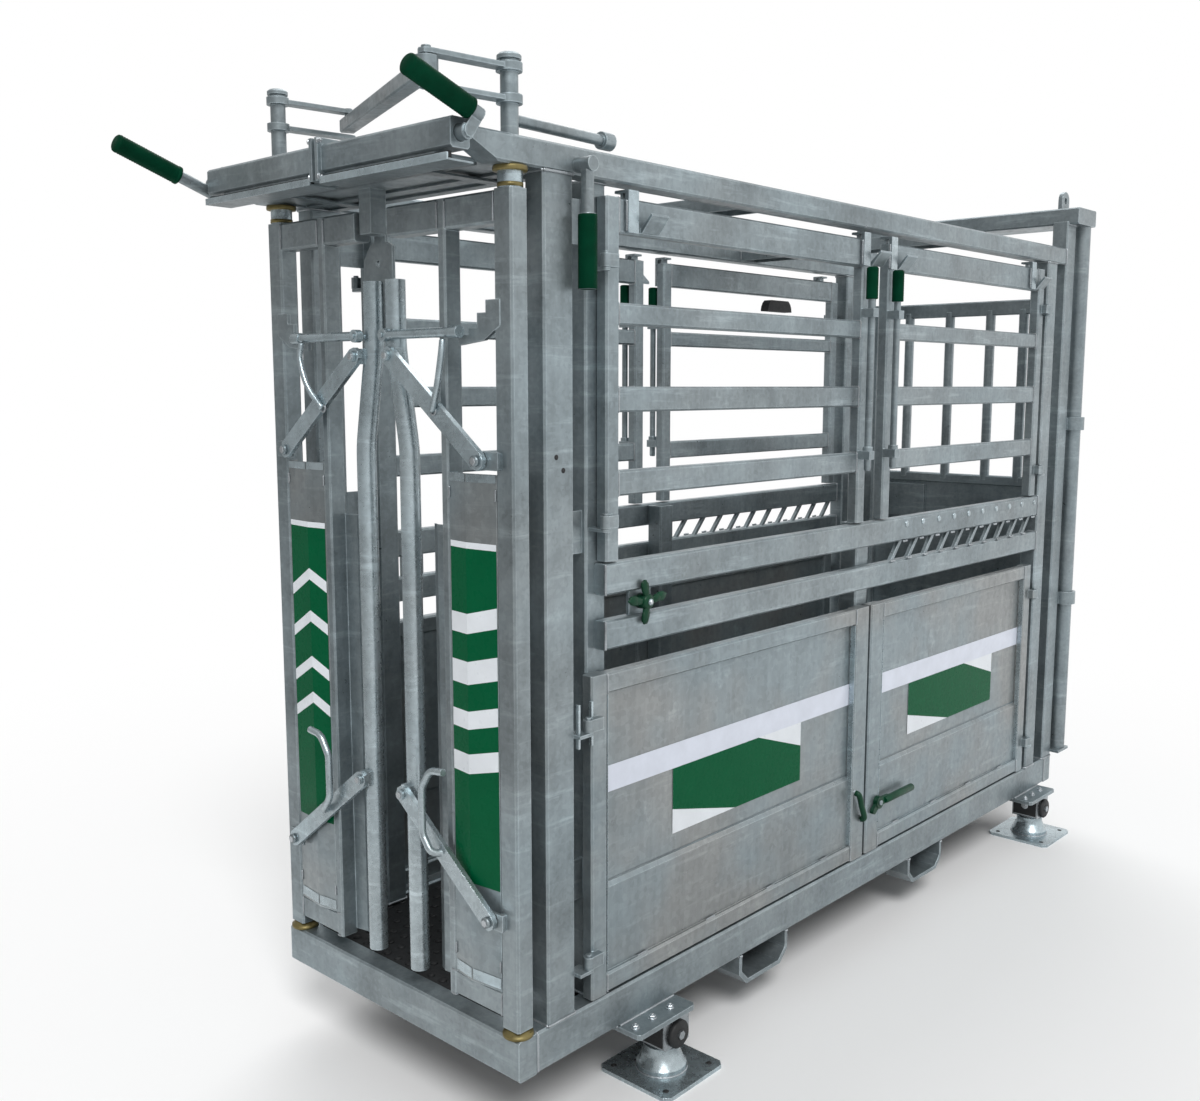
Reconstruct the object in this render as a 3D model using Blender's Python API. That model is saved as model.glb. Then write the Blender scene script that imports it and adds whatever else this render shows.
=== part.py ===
"""Cattle crush: galvanised weigh crush with a locking headgate, side gates and doors.

Every shape is drawn in the crush's own drawing axes, in metres. U runs across, zero in the
middle and positive to the side with the side lever. Stations run back from the front face.
Levels run up from the underside of the base. ORIGIN_SHIFT then moves the drawing so that the
origin lies on the floor under the middle of the crush.
"""

import math

import bmesh
import bpy
from mathutils import Matrix, Vector

# Overall sizes
WIDTH = 0.91
BASE_LENGTH = 2.96
FOOT_HEIGHT = 0.19
POST_HEIGHT = 2.03

# Fits
GAP = 0.0003
RUNNING = 0.0005
HALF = WIDTH / 2

# Base frame
BASE_HEIGHT = 0.10
RAIL_WIDTH = 0.06
TUBE_CORNER = 0.005
CROSS_MEMBERS = tuple(BASE_LENGTH * share for share in (0.2095, 0.4392, 0.669))
CROSS_MEMBER_WIDTH = 0.06
CROSS_MEMBER_HEIGHT = 0.06
MAT_THICKNESS = 0.032

# Fork pockets under the side rails
POCKET_STATIONS = (BASE_LENGTH * 0.326, BASE_LENGTH * 0.6486)
POCKET_WIDTH = 0.235
POCKET_DEPTH = 0.09
POCKET_STRAP = 0.012
POCKET_LENGTH = 0.10
POCKET_CHAMFER = 0.035

# Weigh feet
FOOT_STATIONS = {"front": 0.52, "rear": BASE_LENGTH - 0.15}
FOOT_U = HALF - 0.010
FOOT_PLATE = 0.235
FOOT_PLATE_THICKNESS = 0.010
HANGER_LENGTH = 0.22
HANGER_SETBACK = 0.070
HANGER_REACH = (0.080, 0.070)
HANGER_THICKNESS = 0.012
CELL_SIZE = 0.10
CELL_BOSS_RADIUS = 0.031
CELL_BOSS_LEVEL = -0.074
PUCK_TOP = 0.075

# Posts of the two sides
FRONT_POST_STATION = 0.095
FRONT_POST_DEPTH = 0.092
GATE_POST_STATION = 0.262
GATE_POST_DEPTH = 0.068
REAR_POST_STATION = BASE_LENGTH - 0.24
REAR_POST_DEPTH = 0.08
POST_WIDTH = 0.06
MID_POST_DEPTH = 0.07
SPACER_LEVELS = (0.40, 1.24, 1.94)

# Side gates and doors, all in one plane inside the side face
LEAF_THICKNESS = 0.035
LEAF_MEET = BASE_LENGTH * 0.5076
UPPER_MEET_GAP = 0.105
LOWER_MEET_GAP = 0.015
UPPER_FRONT_START = 0.295
LOWER_FRONT_START = 0.245
LEAF_END = REAR_POST_STATION - 0.03
UPPER_BOTTOM = 1.17
UPPER_TOP = 2.00
UPPER_STILE = 0.045
UPPER_RAILS = ((1.32, 1.38), (1.515, 1.574), (1.715, 1.765), (1.92, UPPER_TOP))
LOWER_BOTTOM = 0.105
LOWER_TOP = 0.905
LOWER_STILE = 0.055
LOWER_FREE_STILE = 0.075
LOWER_RAIL = 0.050
SHEET = 0.003
FOLD_LEVEL = 0.377

# Leaf hinges
HINGE_OUT = 0.008
PIN_RADIUS = 0.007
EYE_RADIUS = 0.013
EYE_HEIGHT = 0.030
LUG_THICKNESS = 0.008
UPPER_HINGE_LEVELS = (1.25, 1.84)
LOWER_HINGE_LEVELS = (0.20, 0.78)
FRONT_UPPER_AXIS = 0.282
FRONT_LOWER_AXIS = 0.224
REAR_AXIS = REAR_POST_STATION - 0.015

# Fixed side rails and the rack between them
RAIL_A = (1.09, 1.165)
RAIL_B = (0.96, 1.03)
RAIL_START = 0.29
RACK_COUNT = 10
RACK_START = LEAF_MEET + 0.1275
RACK_PITCH = (LEAF_END - RACK_START) / (RACK_COUNT - 0.2)
RACK_BAR = 0.018
RACK_LEAN = 0.075

# Top beams and roof
TOP_BEAM_HEIGHT = 0.06
TOP_BEAM_REACH = 0.11
TOP_BEAM_NOSE = 0.022
TOP_BEAM_BEVEL = 0.08
ROOF_STATIONS = {"front": 0.93, "rear": BASE_LENGTH - 0.94}
ROOF_WIDTH = 0.10
ROOF_HEIGHT = 0.040
ROOF_WALL = 0.004

# Front cross beam, portal plate and centre stop
CROSS_TUBE_DEPTH = 0.050
CROSS_TUBE_BOTTOM = 2.040
CROSS_TUBE_HEIGHT = 0.060
PORTAL_PLATE_BACK = 0.20
PORTAL_PLATE_THICKNESS = 0.0065
FLANGE_THICKNESS = 0.010
FLANGE_CENTRES = (-0.004, 0.018)
STOP_STATION = 0.056
STOP_PLATE_THICKNESS = 0.008
CENTRE_ARM_U = (-0.080, -0.037)
CENTRE_ARM_STATION = (0.014, 0.060)
CENTRE_ARM_BOTTOM = 1.93
STOP_PLATE_U = (-0.122, -0.012)
STOP_PLATE_LEVELS = (1.70, 1.915)

# Rear portal
REAR_PORTAL_STATION = BASE_LENGTH - 0.08
REAR_PORTAL_DEPTH = 0.08
REAR_PORTAL_TOP = 2.24
REAR_BEAM_DEPTH = 0.17
REAR_BEAM_HEIGHT = 0.06
EYE_PLATE = 0.015
EYE_PLATE_HEIGHT = 0.07

# Headgate halves
GATE_AXIS_INSET = 0.03
GATE_AXIS_STATION = 0.027
SHAFT_RADIUS = 0.019
STILE_WIDTH = 0.056
STILE_DEPTH = 0.050
GATE_BOTTOM = 0.118
GATE_TOP = 1.985
GATE_RAIL_HEIGHT = 0.07
TOP_RAIL_START = {"right": 0.035, "left": 0.088}
INNER_STILE = (0.135, 0.175)
INNER_STILE_DEPTH = 0.045
PANEL_TOP = 1.44
PANEL_BOTTOM = 0.17

# Neck bars and their parallel links
NECK_RADIUS = 0.024
NECK_STATION = 0.020
NECK_TOP = 1.82
NECK_BOTTOM = 0.15
NECK_TOP_U = 0.042
NECK_LOW_U = 0.083
NECK_BEND_TOP = 1.665
NECK_BEND_LOW = 1.43
LINK_RUN = 0.30
LINK_DROP = 0.23
LINK_WIDTH = 0.042
LINK_FACE = -0.0135
LINK_THICKNESS = 0.013
UPPER_LINK_PIVOT = (0.065, 1.645)
LOWER_LINK_PIVOT = (NECK_LOW_U, 0.605)
LINK_PIN_RADIUS = 0.008
NECK_LIFT_DEGREES = 20.0
LATCH_BAR_LEVEL = 1.692
LATCH_BAR_RADIUS = 0.011
PAWL_U = 0.300
PAWL_RADIUS = 0.006
RATCHET_STEPS = 4

# Crank forks and the bar that couples the two halves
CRANK_REACH = 0.195
CRANK_INWARD = 0.030
CRANK_WIDTH = 0.034
CRANK_STRAP = 0.010
FORK_OPENING = 0.054
FORK_LEVEL = {"right": 2.195, "left": 2.255}
CRANK_PIN_RADIUS = 0.010
BAR_WIDTH = 0.040
BAR_HEIGHT = 0.035
BAR_TAIL = 0.025
STOP_ARM_LEVEL = 2.128
STOP_ARM_END = 0.365
STOP_ARM_RADIUS = 0.0125

# Operating levers on the cross beam
LEVER_SHAFT_RADIUS = 0.0165
LEVER_U = HALF + 0.024
LEVER_TUBE_RADIUS = 0.0145
LEVER_RISE_DEGREES = 20.0
LEVER_ROOT = {"right": (0.012, 0.041), "left": (0.0, -0.021)}
LEVER_STUB = {"right": 0.008, "left": 0.095}
LEVER_TAIL = 0.022
GRIP_LENGTH = 0.165
GRIP_RADIUS = 0.0222

# Side lever
SIDE_LEVER_STATION = 0.202
SIDE_LEVER_LEVEL = 2.050
SIDE_LEVER_U = HALF + 0.028
SIDE_GRIP = (1.785, 1.946)

# Drop rods on the upper gates
DROP_ROD_OUT = 0.024
DROP_ROD_RADIUS = 0.010
DROP_ROD = (1.327, 1.83)
DROP_GRIP = (1.827, 1.918)
DROP_GRIP_RADIUS = 0.017
DROP_ROD_SHIFT = 0.010
GUIDE_LEVELS = (1.360, 1.775)
GUIDE_HEIGHT = 0.025

# Door latch and wing handle
LATCH_LEVEL = 0.262
LATCH_STATION = LEAF_MEET + 0.0725
LATCH_GRIP_END = LATCH_STATION + 0.21
WING_STATION = 0.432
WING_LEVEL = 1.060
WING_REACH = 0.062

# Rear gate
REAR_TUBE_RADIUS = 0.030
REAR_TUBE_STATION = BASE_LENGTH + 0.06
REAR_BAND_LEVELS = (0.74, 1.43)
REAR_BAR_U = (-0.265, -0.08, 0.098, 0.238)
REAR_BAR_RADIUS = 0.019
REAR_SHEET_TOP = 1.17

# Places that follow from the sizes above
BASE_TOP = BASE_HEIGHT + GAP
LEAF_IN = HALF - LEAF_THICKNESS
BEHIND_LEAF = LEAF_IN - GAP
HINGE_U = HALF + HINGE_OUT
GATE_AXIS_U = HALF - GATE_AXIS_INSET
UPPER_SPANS = {
    "front": (UPPER_FRONT_START, LEAF_MEET - UPPER_MEET_GAP / 2),
    "rear": (LEAF_MEET + UPPER_MEET_GAP / 2, LEAF_END),
}
LOWER_SPANS = {
    "front": (LOWER_FRONT_START, LEAF_MEET + UPPER_MEET_GAP / 20 - LOWER_MEET_GAP / 2),
    "rear": (LEAF_MEET + UPPER_MEET_GAP / 20 + LOWER_MEET_GAP / 2, LEAF_END),
}
UPPER_AXES = {"front": FRONT_UPPER_AXIS, "rear": REAR_AXIS}
LOWER_AXES = {"front": FRONT_LOWER_AXIS, "rear": REAR_AXIS}
CROSS_TUBE_BACK = -TOP_BEAM_REACH - GAP
LEVER_STATION = CROSS_TUBE_BACK - CROSS_TUBE_DEPTH / 2
LEVER_LEVEL = CROSS_TUBE_BOTTOM + CROSS_TUBE_HEIGHT / 2
REAR_TUBE_U = HALF
TOP_BEAM_TOP = POST_HEIGHT + TOP_BEAM_HEIGHT
LINK_LENGTH = math.hypot(LINK_RUN, LINK_DROP)
LINK_ANGLE = math.atan2(LINK_DROP, LINK_RUN)
LEVER_RISE = math.radians(LEVER_RISE_DEGREES)
FRONT_REACH = -LEVER_STATION + math.cos(LEVER_RISE) * (LEVER_STUB["left"] + GRIP_LENGTH)
REAR_REACH = REAR_PORTAL_STATION + REAR_BEAM_DEPTH + 0.005
ORIGIN_SHIFT = Vector((0.0, (FRONT_REACH - REAR_REACH) / 2, FOOT_HEIGHT))

MATERIALS = {
    "galvanised": ((0.60, 0.63, 0.65), 0.42, 0.85),
    "zinc_yellow": ((0.62, 0.50, 0.20), 0.38, 0.80),
    "green_grip": ((0.01, 0.16, 0.07), 0.55, 0.0),
    "green_panel": ((0.01, 0.25, 0.10), 0.35, 0.0),
    "rubber": ((0.03, 0.03, 0.035), 0.80, 0.0),
    "steel": ((0.55, 0.56, 0.58), 0.35, 0.90),
}

SIDES = ("right", "left")
bodies = {}


def clear_scene():
    for item in list(bpy.data.objects):
        bpy.data.objects.remove(item, do_unlink=True)


def material(name):
    if name in bpy.data.materials:
        return bpy.data.materials[name]
    colour, roughness, metallic = MATERIALS[name]
    made = bpy.data.materials.new(name)
    made.use_nodes = True
    shader = made.node_tree.nodes["Principled BSDF"]
    shader.inputs["Base Color"].default_value = (*colour, 1.0)
    shader.inputs["Roughness"].default_value = roughness
    shader.inputs["Metallic"].default_value = metallic
    return made


# Mesh helpers


def solid(bm, name="piece"):
    """Turn a bmesh into a linked object with its faces pointing out."""
    bmesh.ops.recalc_face_normals(bm, faces=bm.faces)
    mesh = bpy.data.meshes.new(name)
    bm.to_mesh(mesh)
    bm.free()
    item = bpy.data.objects.new(name, mesh)
    bpy.context.scene.collection.objects.link(item)
    return item


def loft(rings, closed_ends=True, closed_loop=False):
    """Bridge rings of points that have the same count into one closed skin."""
    bm = bmesh.new()
    rows = [[bm.verts.new(point) for point in ring] for ring in rings]
    pairs = list(zip(rows, rows[1:]))
    if closed_loop:
        pairs.append((rows[-1], rows[0]))
    for lower, upper in pairs:
        count = len(lower)
        for i in range(count):
            j = (i + 1) % count
            bm.faces.new((lower[i], lower[j], upper[j], upper[i]))
    if closed_ends and not closed_loop:
        bm.faces.new(rows[0])
        bm.faces.new(rows[-1])
    return solid(bm)


def prism(outline, axis, low, high):
    """Extrude a flat outline along X, Y or Z."""
    place = {
        "X": lambda a, b, c: (c, a, b),
        "Y": lambda a, b, c: (a, c, b),
        "Z": lambda a, b, c: (a, b, c),
    }[axis]
    return loft([[place(a, b, c) for a, b in outline] for c in (low, high)])


def chamfered(a, b, corner):
    """Rectangle outline with its four corners cut."""
    (a0, a1), (b0, b1) = a, b
    return [
        (a0 + corner, b0), (a1 - corner, b0), (a1, b0 + corner), (a1, b1 - corner),
        (a1 - corner, b1), (a0 + corner, b1), (a0, b1 - corner), (a0, b0 + corner),
    ]


def tube(u, station, level, along, corner=TUBE_CORNER):
    """Box-section tube with rounded long edges."""
    if along == "X":
        return prism(chamfered(station, level, corner), "X", *u)
    if along == "Y":
        return prism(chamfered(u, level, corner), "Y", *station)
    return prism(chamfered(u, station, corner), "Z", *level)


def block(u, station, level):
    (u0, u1), (s0, s1) = u, station
    return prism([(u0, s0), (u1, s0), (u1, s1), (u0, s1)], "Z", *level)


def circle(radius, sides, turn=0.0):
    return [
        (
            radius * math.cos(math.tau * i / sides + turn),
            radius * math.sin(math.tau * i / sides + turn),
        )
        for i in range(sides)
    ]


def frame_between(start, end):
    """Matrix whose Z axis runs from start to end, at start."""
    direction = (end - start).normalized()
    return Matrix.Translation(start) @ direction.to_track_quat("Z", "Y").to_matrix().to_4x4()


def rod(start, end, radius, sides=12):
    start, end = Vector(start), Vector(end)
    place = frame_between(start, end)
    length = (end - start).length
    rings = [[place @ Vector((x, y, z)) for x, y in circle(radius, sides)] for z in (0.0, length)]
    return loft(rings)


def turned(profile, start, end, sides=16):
    """Turn a profile of (radius, distance) from start towards end."""
    place = frame_between(Vector(start), Vector(end))
    rings = [[place @ Vector((x, y, z)) for x, y in circle(r, sides)] for r, z in profile]
    return loft(rings)


def collar(outer, inner, start, end, sides=16):
    """Plain ring with a bore."""
    return turned_loop([(outer, 0.0), (outer, 1.0), (inner, 1.0), (inner, 0.0)], start, end, sides)


def turned_loop(profile, start, end, sides=16):
    """Turn a closed profile of (radius, share of the length) round a bore."""
    start, end = Vector(start), Vector(end)
    place = frame_between(start, end)
    length = (end - start).length
    rings = [
        [place @ Vector((x, y, share * length)) for x, y in circle(radius, sides)]
        for radius, share in profile
    ]
    return loft(rings, closed_loop=True)


def rounded_path(points, radius, steps=4):
    """Replace each corner of a path by an arc."""
    points = [Vector(point) for point in points]
    path = [points[0]]
    for before, corner, after in zip(points, points[1:], points[2:]):
        to_before = (before - corner).normalized()
        to_after = (after - corner).normalized()
        half_angle = to_before.angle(to_after) / 2
        tangent = radius / math.tan(half_angle)
        tangent = min(tangent, 0.45 * (before - corner).length, 0.45 * (after - corner).length)
        reach = tangent / math.cos(half_angle)
        centre = corner + (to_before + to_after).normalized() * reach
        first = corner + to_before * tangent - centre
        last = corner + to_after * tangent - centre
        for i in range(steps + 1):
            share = i / steps
            path.append(centre + first.slerp(last, share).normalized() * first.length)
    path.append(points[-1])
    return path


def pipe(points, radius, bend, sides=12, steps=4):
    """Sweep a circle along a path with rounded corners."""
    path = rounded_path(points, bend, steps)
    rings = []
    side = (path[1] - path[0]).normalized().orthogonal().normalized()
    for i, point in enumerate(path):
        ahead = path[min(i + 1, len(path) - 1)] - path[max(i - 1, 0)]
        ahead.normalize()
        side = (side - ahead * side.dot(ahead)).normalized()
        across = ahead.cross(side)
        rings.append([point + side * x + across * y for x, y in circle(radius, sides)])
    return loft(rings)


def capsule(start, end, width, steps=4):
    """Outline of a flat link with round ends, in two axes."""
    (a0, b0), (a1, b1) = start, end
    heading = math.atan2(b1 - b0, a1 - a0)
    outline = []
    for (a, b), turn in (((a1, b1), -math.pi / 2), ((a0, b0), math.pi / 2)):
        for i in range(steps + 1):
            angle = heading + turn + math.pi * i / steps
            outline.append((a + width / 2 * math.cos(angle), b + width / 2 * math.sin(angle)))
    return outline


def boolean(body, tool, operation):
    """Join or cut with an exact boolean and keep the result as the body's mesh."""
    modifier = body.modifiers.new(operation.title(), "BOOLEAN")
    modifier.operation = operation
    modifier.solver = "EXACT"
    modifier.object = tool
    depsgraph = bpy.context.evaluated_depsgraph_get()
    result = bpy.data.meshes.new_from_object(body.evaluated_get(depsgraph))
    body.modifiers.clear()
    body.data = result
    bpy.data.objects.remove(tool, do_unlink=True)
    return body


def weld(*pieces):
    body = pieces[0]
    for piece in pieces[1:]:
        boolean(body, piece, "UNION")
    return body


def cut(body, *tools):
    for tool in tools:
        boolean(body, tool, "DIFFERENCE")
    return body


def mirrored(item):
    """Turn a right-hand piece into its left-hand twin."""
    item.data.transform(Matrix.Scale(-1.0, 4, Vector((1.0, 0.0, 0.0))))
    item.data.flip_normals()
    return item


# Bodies and nodes


def add_body(name, pivot, parent=None):
    """Empty on a joint's axis, which carries the pieces that move with it."""
    empty = bpy.data.objects.new(f"axis_{name}", None)
    bpy.context.scene.collection.objects.link(empty)
    world = Vector(pivot) + ORIGIN_SHIFT
    if parent:
        empty.parent = bodies[parent][0]
        empty.location = world - bodies[parent][1]
    else:
        empty.location = world
    bodies[name] = (empty, world)


def add_node(item, name, finish, body=None):
    """Name a piece, give it its material and hang it on its body."""
    item.name = name
    item.data.name = name
    item.data.transform(Matrix.Translation(ORIGIN_SHIFT))
    if body:
        empty, world = bodies[body]
        item.data.transform(Matrix.Translation(-world))
        item.parent = empty
    item.data.materials.clear()
    item.data.materials.append(material(finish))
    item.data.shade_smooth()
    item.data.set_sharp_from_angle(angle=math.radians(35))
    return item


def handed(side, u, station, level):
    """A right-hand place on the side named."""
    return (u if side == "right" else -u, station, level)


def add_pair(build, name, finish, body=None):
    """Build a right-hand piece twice and mirror the second."""
    for side in SIDES:
        item = build()
        if side == "left":
            mirrored(item)
        add_node(item, f"{name}_{side}", finish, body and f"{body}_{side}")


# Base


def fork_pocket(station):
    """U-shaped strap that a fork tine slides through."""
    half = POCKET_WIDTH / 2
    top = 0.002
    outer = [
        (station - half, top), (station - half, -POCKET_DEPTH + POCKET_CHAMFER),
        (station - half + POCKET_CHAMFER, -POCKET_DEPTH),
        (station + half - POCKET_CHAMFER, -POCKET_DEPTH),
        (station + half, -POCKET_DEPTH + POCKET_CHAMFER), (station + half, top),
    ]
    shrink = POCKET_STRAP * math.tan(math.pi / 8)
    inside = half - POCKET_STRAP
    floor = -POCKET_DEPTH + POCKET_STRAP
    corner = POCKET_CHAMFER - shrink
    inner = [
        (station + inside, top), (station + inside, floor + corner),
        (station + inside - corner, floor), (station - inside + corner, floor),
        (station - inside, floor + corner), (station - inside, top),
    ]
    return prism(outer + inner, "X", HALF - POCKET_LENGTH, HALF)


def hanger_plate(station):
    """Plate under the side rail that the load cell hangs from."""
    centre = station - HANGER_SETBACK
    stations = (centre - HANGER_LENGTH / 2, centre + HANGER_LENGTH / 2)
    outline = chamfered((HALF - HANGER_REACH[0], HALF + HANGER_REACH[1]), stations, 0.008)
    return prism(outline, "Z", -HANGER_THICKNESS, 0.001)


def base_frame():
    ends = [
        tube((-HALF, HALF), (0.0, RAIL_WIDTH), (0.0, BASE_HEIGHT), "X"),
        tube((-HALF, HALF), (BASE_LENGTH - RAIL_WIDTH, BASE_LENGTH), (0.0, BASE_HEIGHT), "X"),
    ]
    rails = []
    for side in SIDES:
        rail = tube(
            (HALF - RAIL_WIDTH, HALF),
            (RAIL_WIDTH / 2, BASE_LENGTH - RAIL_WIDTH / 2),
            (0.0, BASE_HEIGHT),
            "Y",
        )
        parts = [rail]
        parts += [fork_pocket(station) for station in POCKET_STATIONS]
        parts += [hanger_plate(station) for station in FOOT_STATIONS.values()]
        rails.append(weld(*parts) if side == "right" else mirrored(weld(*parts)))
    reach = HALF - RAIL_WIDTH + 0.01
    bearers = [
        tube(
            (-reach, reach),
            (station - CROSS_MEMBER_WIDTH / 2, station + CROSS_MEMBER_WIDTH / 2),
            (0.002, CROSS_MEMBER_HEIGHT),
            "X",
        )
        for station in CROSS_MEMBERS
    ]
    return weld(*ends, *rails, *bearers)


def floor_mat():
    inside = HALF - RAIL_WIDTH - GAP
    stations = (RAIL_WIDTH + GAP, BASE_LENGTH - RAIL_WIDTH - GAP)
    levels = (CROSS_MEMBER_HEIGHT + GAP, CROSS_MEMBER_HEIGHT + MAT_THICKNESS)
    return block((-inside, inside), stations, levels)


def weigh_foot(station):
    """Square ground plate with the turned puck that takes the load cell."""
    half = FOOT_PLATE / 2
    outline = chamfered((FOOT_U - half, FOOT_U + half), (station - half, station + half), 0.015)
    plate = prism(outline, "Z", -FOOT_HEIGHT, -FOOT_HEIGHT + FOOT_PLATE_THICKNESS)
    bottom = Vector((FOOT_U, station, -FOOT_HEIGHT + FOOT_PLATE_THICKNESS / 2))
    puck = turned(
        [
            (0.066, 0.0), (0.066, 0.018), (0.060, 0.024), (0.052, 0.044),
            (0.048, 0.050), (0.048, PUCK_TOP - FOOT_PLATE_THICKNESS / 2),
        ],
        bottom,
        bottom + Vector((0, 0, 1)),
        20,
    )
    return weld(plate, puck)


def load_cell(station):
    """Box-shaped cell under the hanger plate, with a round boss and bolt on its outer face."""
    half = CELL_SIZE / 2
    top = -HANGER_THICKNESS - GAP
    bottom = -FOOT_HEIGHT + PUCK_TOP + GAP
    body = tube((FOOT_U - half, FOOT_U + half), (station - half, station + half),
                (bottom + 0.006, top), "X", 0.004)
    seat = rod((FOOT_U, station, bottom), (FOOT_U, station, bottom + 0.012), 0.040, 16)
    face = Vector((FOOT_U + half - 0.002, station, CELL_BOSS_LEVEL))
    boss = turned([(CELL_BOSS_RADIUS, 0.0), (CELL_BOSS_RADIUS, 0.010), (0.026, 0.013)],
                  face, face + Vector((1, 0, 0)), 20)
    bolt = rod(face, face + Vector((0.021, 0, 0)), 0.012, 6)
    return weld(body, seat, boss, bolt)


# Posts and hinges


def hinge_lug(station, level, post_face):
    """Lug plate from a post with a pin standing up through the leaf's eye."""
    under = level - RUNNING
    low = under - LUG_THICKNESS
    inner, outer = HINGE_U - 0.0115, HINGE_U + 0.0115
    if post_face == "side":
        arm = block((BEHIND_LEAF - 0.004, HINGE_U), (station - 0.0115, station + 0.0115),
                    (low, under))
    elif post_face == "back":
        end = FRONT_POST_STATION + FRONT_POST_DEPTH
        arm = block((inner - 0.02, outer), (end - 0.003, station), (low, under))
    else:
        arm = block((inner - 0.02, outer), (station, REAR_POST_STATION + 0.003), (low, under))
    end = rod((HINGE_U, station, low), (HINGE_U, station, under), 0.0118, 16)
    pin = rod(
        (HINGE_U, station, low + 0.002), (HINGE_U, station, level + EYE_HEIGHT + 0.005),
        PIN_RADIUS, 12,
    )
    return weld(arm, end, pin)


def front_posts():
    """Portal post and gate post, joined by spacer plates set back between them."""
    portal = tube(
        (HALF - POST_WIDTH, HALF),
        (FRONT_POST_STATION, FRONT_POST_STATION + FRONT_POST_DEPTH),
        (BASE_TOP, POST_HEIGHT - GAP), "Z",
    )
    gate_post = tube(
        (BEHIND_LEAF - POST_WIDTH, BEHIND_LEAF),
        (GATE_POST_STATION, GATE_POST_STATION + GATE_POST_DEPTH),
        (BASE_TOP, POST_HEIGHT - GAP), "Z",
    )
    parts = [portal, gate_post]
    for level in SPACER_LEVELS:
        parts.append(
            block(
                (HALF - POST_WIDTH + 0.004, HALF - POST_WIDTH + 0.012),
                (FRONT_POST_STATION + FRONT_POST_DEPTH - 0.003, GATE_POST_STATION + 0.003),
                (level - 0.05, level + 0.05),
            )
        )
    parts += [hinge_lug(FRONT_LOWER_AXIS, level, "back") for level in LOWER_HINGE_LEVELS]
    parts += [hinge_lug(FRONT_UPPER_AXIS, level, "side") for level in UPPER_HINGE_LEVELS]
    return weld(*parts)


def rear_post():
    post = tube(
        (HALF - POST_WIDTH, HALF),
        (REAR_POST_STATION, REAR_POST_STATION + REAR_POST_DEPTH),
        (BASE_TOP, POST_HEIGHT - GAP), "Z",
    )
    levels = LOWER_HINGE_LEVELS + UPPER_HINGE_LEVELS
    return weld(post, *[hinge_lug(REAR_AXIS, level, "front") for level in levels])


# Fixed rails


def rack_bar(station):
    """Slanted bar that joins the two rails of the rack."""
    low, high = RAIL_B[1] - 0.012, RAIL_A[0] + 0.012
    outline = [
        (station, low), (station + RACK_BAR, low),
        (station + RACK_BAR + RACK_LEAN, high), (station + RACK_LEAN, high),
    ]
    return prism(outline, "X", LEAF_IN + 0.010, LEAF_IN + 0.022)


def side_rack():
    """Two long rails with the rack, the mid post and the wing handle's plate."""
    stations = (RAIL_START, REAR_POST_STATION - GAP)
    u = (LEAF_IN + GAP, HALF)
    parts = [tube(u, stations, RAIL_A, "Y"), tube(u, stations, RAIL_B, "Y")]
    mid = LEAF_MEET + UPPER_MEET_GAP / 20
    parts.append(
        tube(
            (BEHIND_LEAF - POST_WIDTH, BEHIND_LEAF),
            (mid - MID_POST_DEPTH / 2, mid + MID_POST_DEPTH / 2),
            (BASE_TOP, RAIL_A[1] - 0.005), "Z",
        )
    )
    for low, high in (RAIL_A, RAIL_B):
        parts.append(
            block((BEHIND_LEAF - 0.01, LEAF_IN + 0.01), (mid - 0.02, mid + 0.02),
                  (low + 0.012, high - 0.012))
        )
    parts += [rack_bar(RACK_START + RACK_PITCH * i) for i in range(RACK_COUNT)]
    parts.append(
        block((LEAF_IN + 0.011, LEAF_IN + 0.019), (WING_STATION - 0.04, WING_STATION + 0.04),
              (RAIL_B[1] - 0.008, RAIL_A[0] + 0.008))
    )
    parts.append(
        rod((LEAF_IN + 0.013, WING_STATION, WING_LEVEL), (HALF + 0.021, WING_STATION, WING_LEVEL),
            LINK_PIN_RADIUS)
    )
    return weld(*parts)


# Top frame


def top_beam():
    """Long beam with its front end cut back underneath and a bore for the gate shaft."""
    u = (HALF - RAIL_WIDTH, HALF)
    back = REAR_PORTAL_STATION - GAP
    beam = tube(u, (-TOP_BEAM_REACH, back), (POST_HEIGHT, TOP_BEAM_TOP), "Y")
    nose = prism(
        [
            (-TOP_BEAM_REACH - 0.01, POST_HEIGHT - 0.01),
            (-TOP_BEAM_REACH + TOP_BEAM_BEVEL + 0.01, POST_HEIGHT - 0.01),
            (-TOP_BEAM_REACH + TOP_BEAM_BEVEL, POST_HEIGHT),
            (-TOP_BEAM_REACH, TOP_BEAM_TOP - TOP_BEAM_NOSE),
            (-TOP_BEAM_REACH - 0.01, TOP_BEAM_TOP - TOP_BEAM_NOSE),
        ],
        "X", u[0] - 0.01, u[1] + 0.01,
    )
    bore = rod(
        (GATE_AXIS_U, GATE_AXIS_STATION, POST_HEIGHT - 0.01),
        (GATE_AXIS_U, GATE_AXIS_STATION, TOP_BEAM_TOP + 0.01),
        SHAFT_RADIUS + 2 * RUNNING, 16,
    )
    return cut(beam, nose, bore)


def roof_channel(station):
    """Folded channel, open below, between the two top beams."""
    half = ROOF_WIDTH / 2
    top = POST_HEIGHT + 0.005 + ROOF_HEIGHT
    low = POST_HEIGHT + 0.005
    outline = [
        (station - half, low), (station - half, top), (station + half, top),
        (station + half, low), (station + half - ROOF_WALL, low),
        (station + half - ROOF_WALL, top - ROOF_WALL),
        (station - half + ROOF_WALL, top - ROOF_WALL), (station - half + ROOF_WALL, low),
    ]
    reach = HALF - RAIL_WIDTH - GAP
    return prism(outline, "X", -reach, reach)


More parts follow.
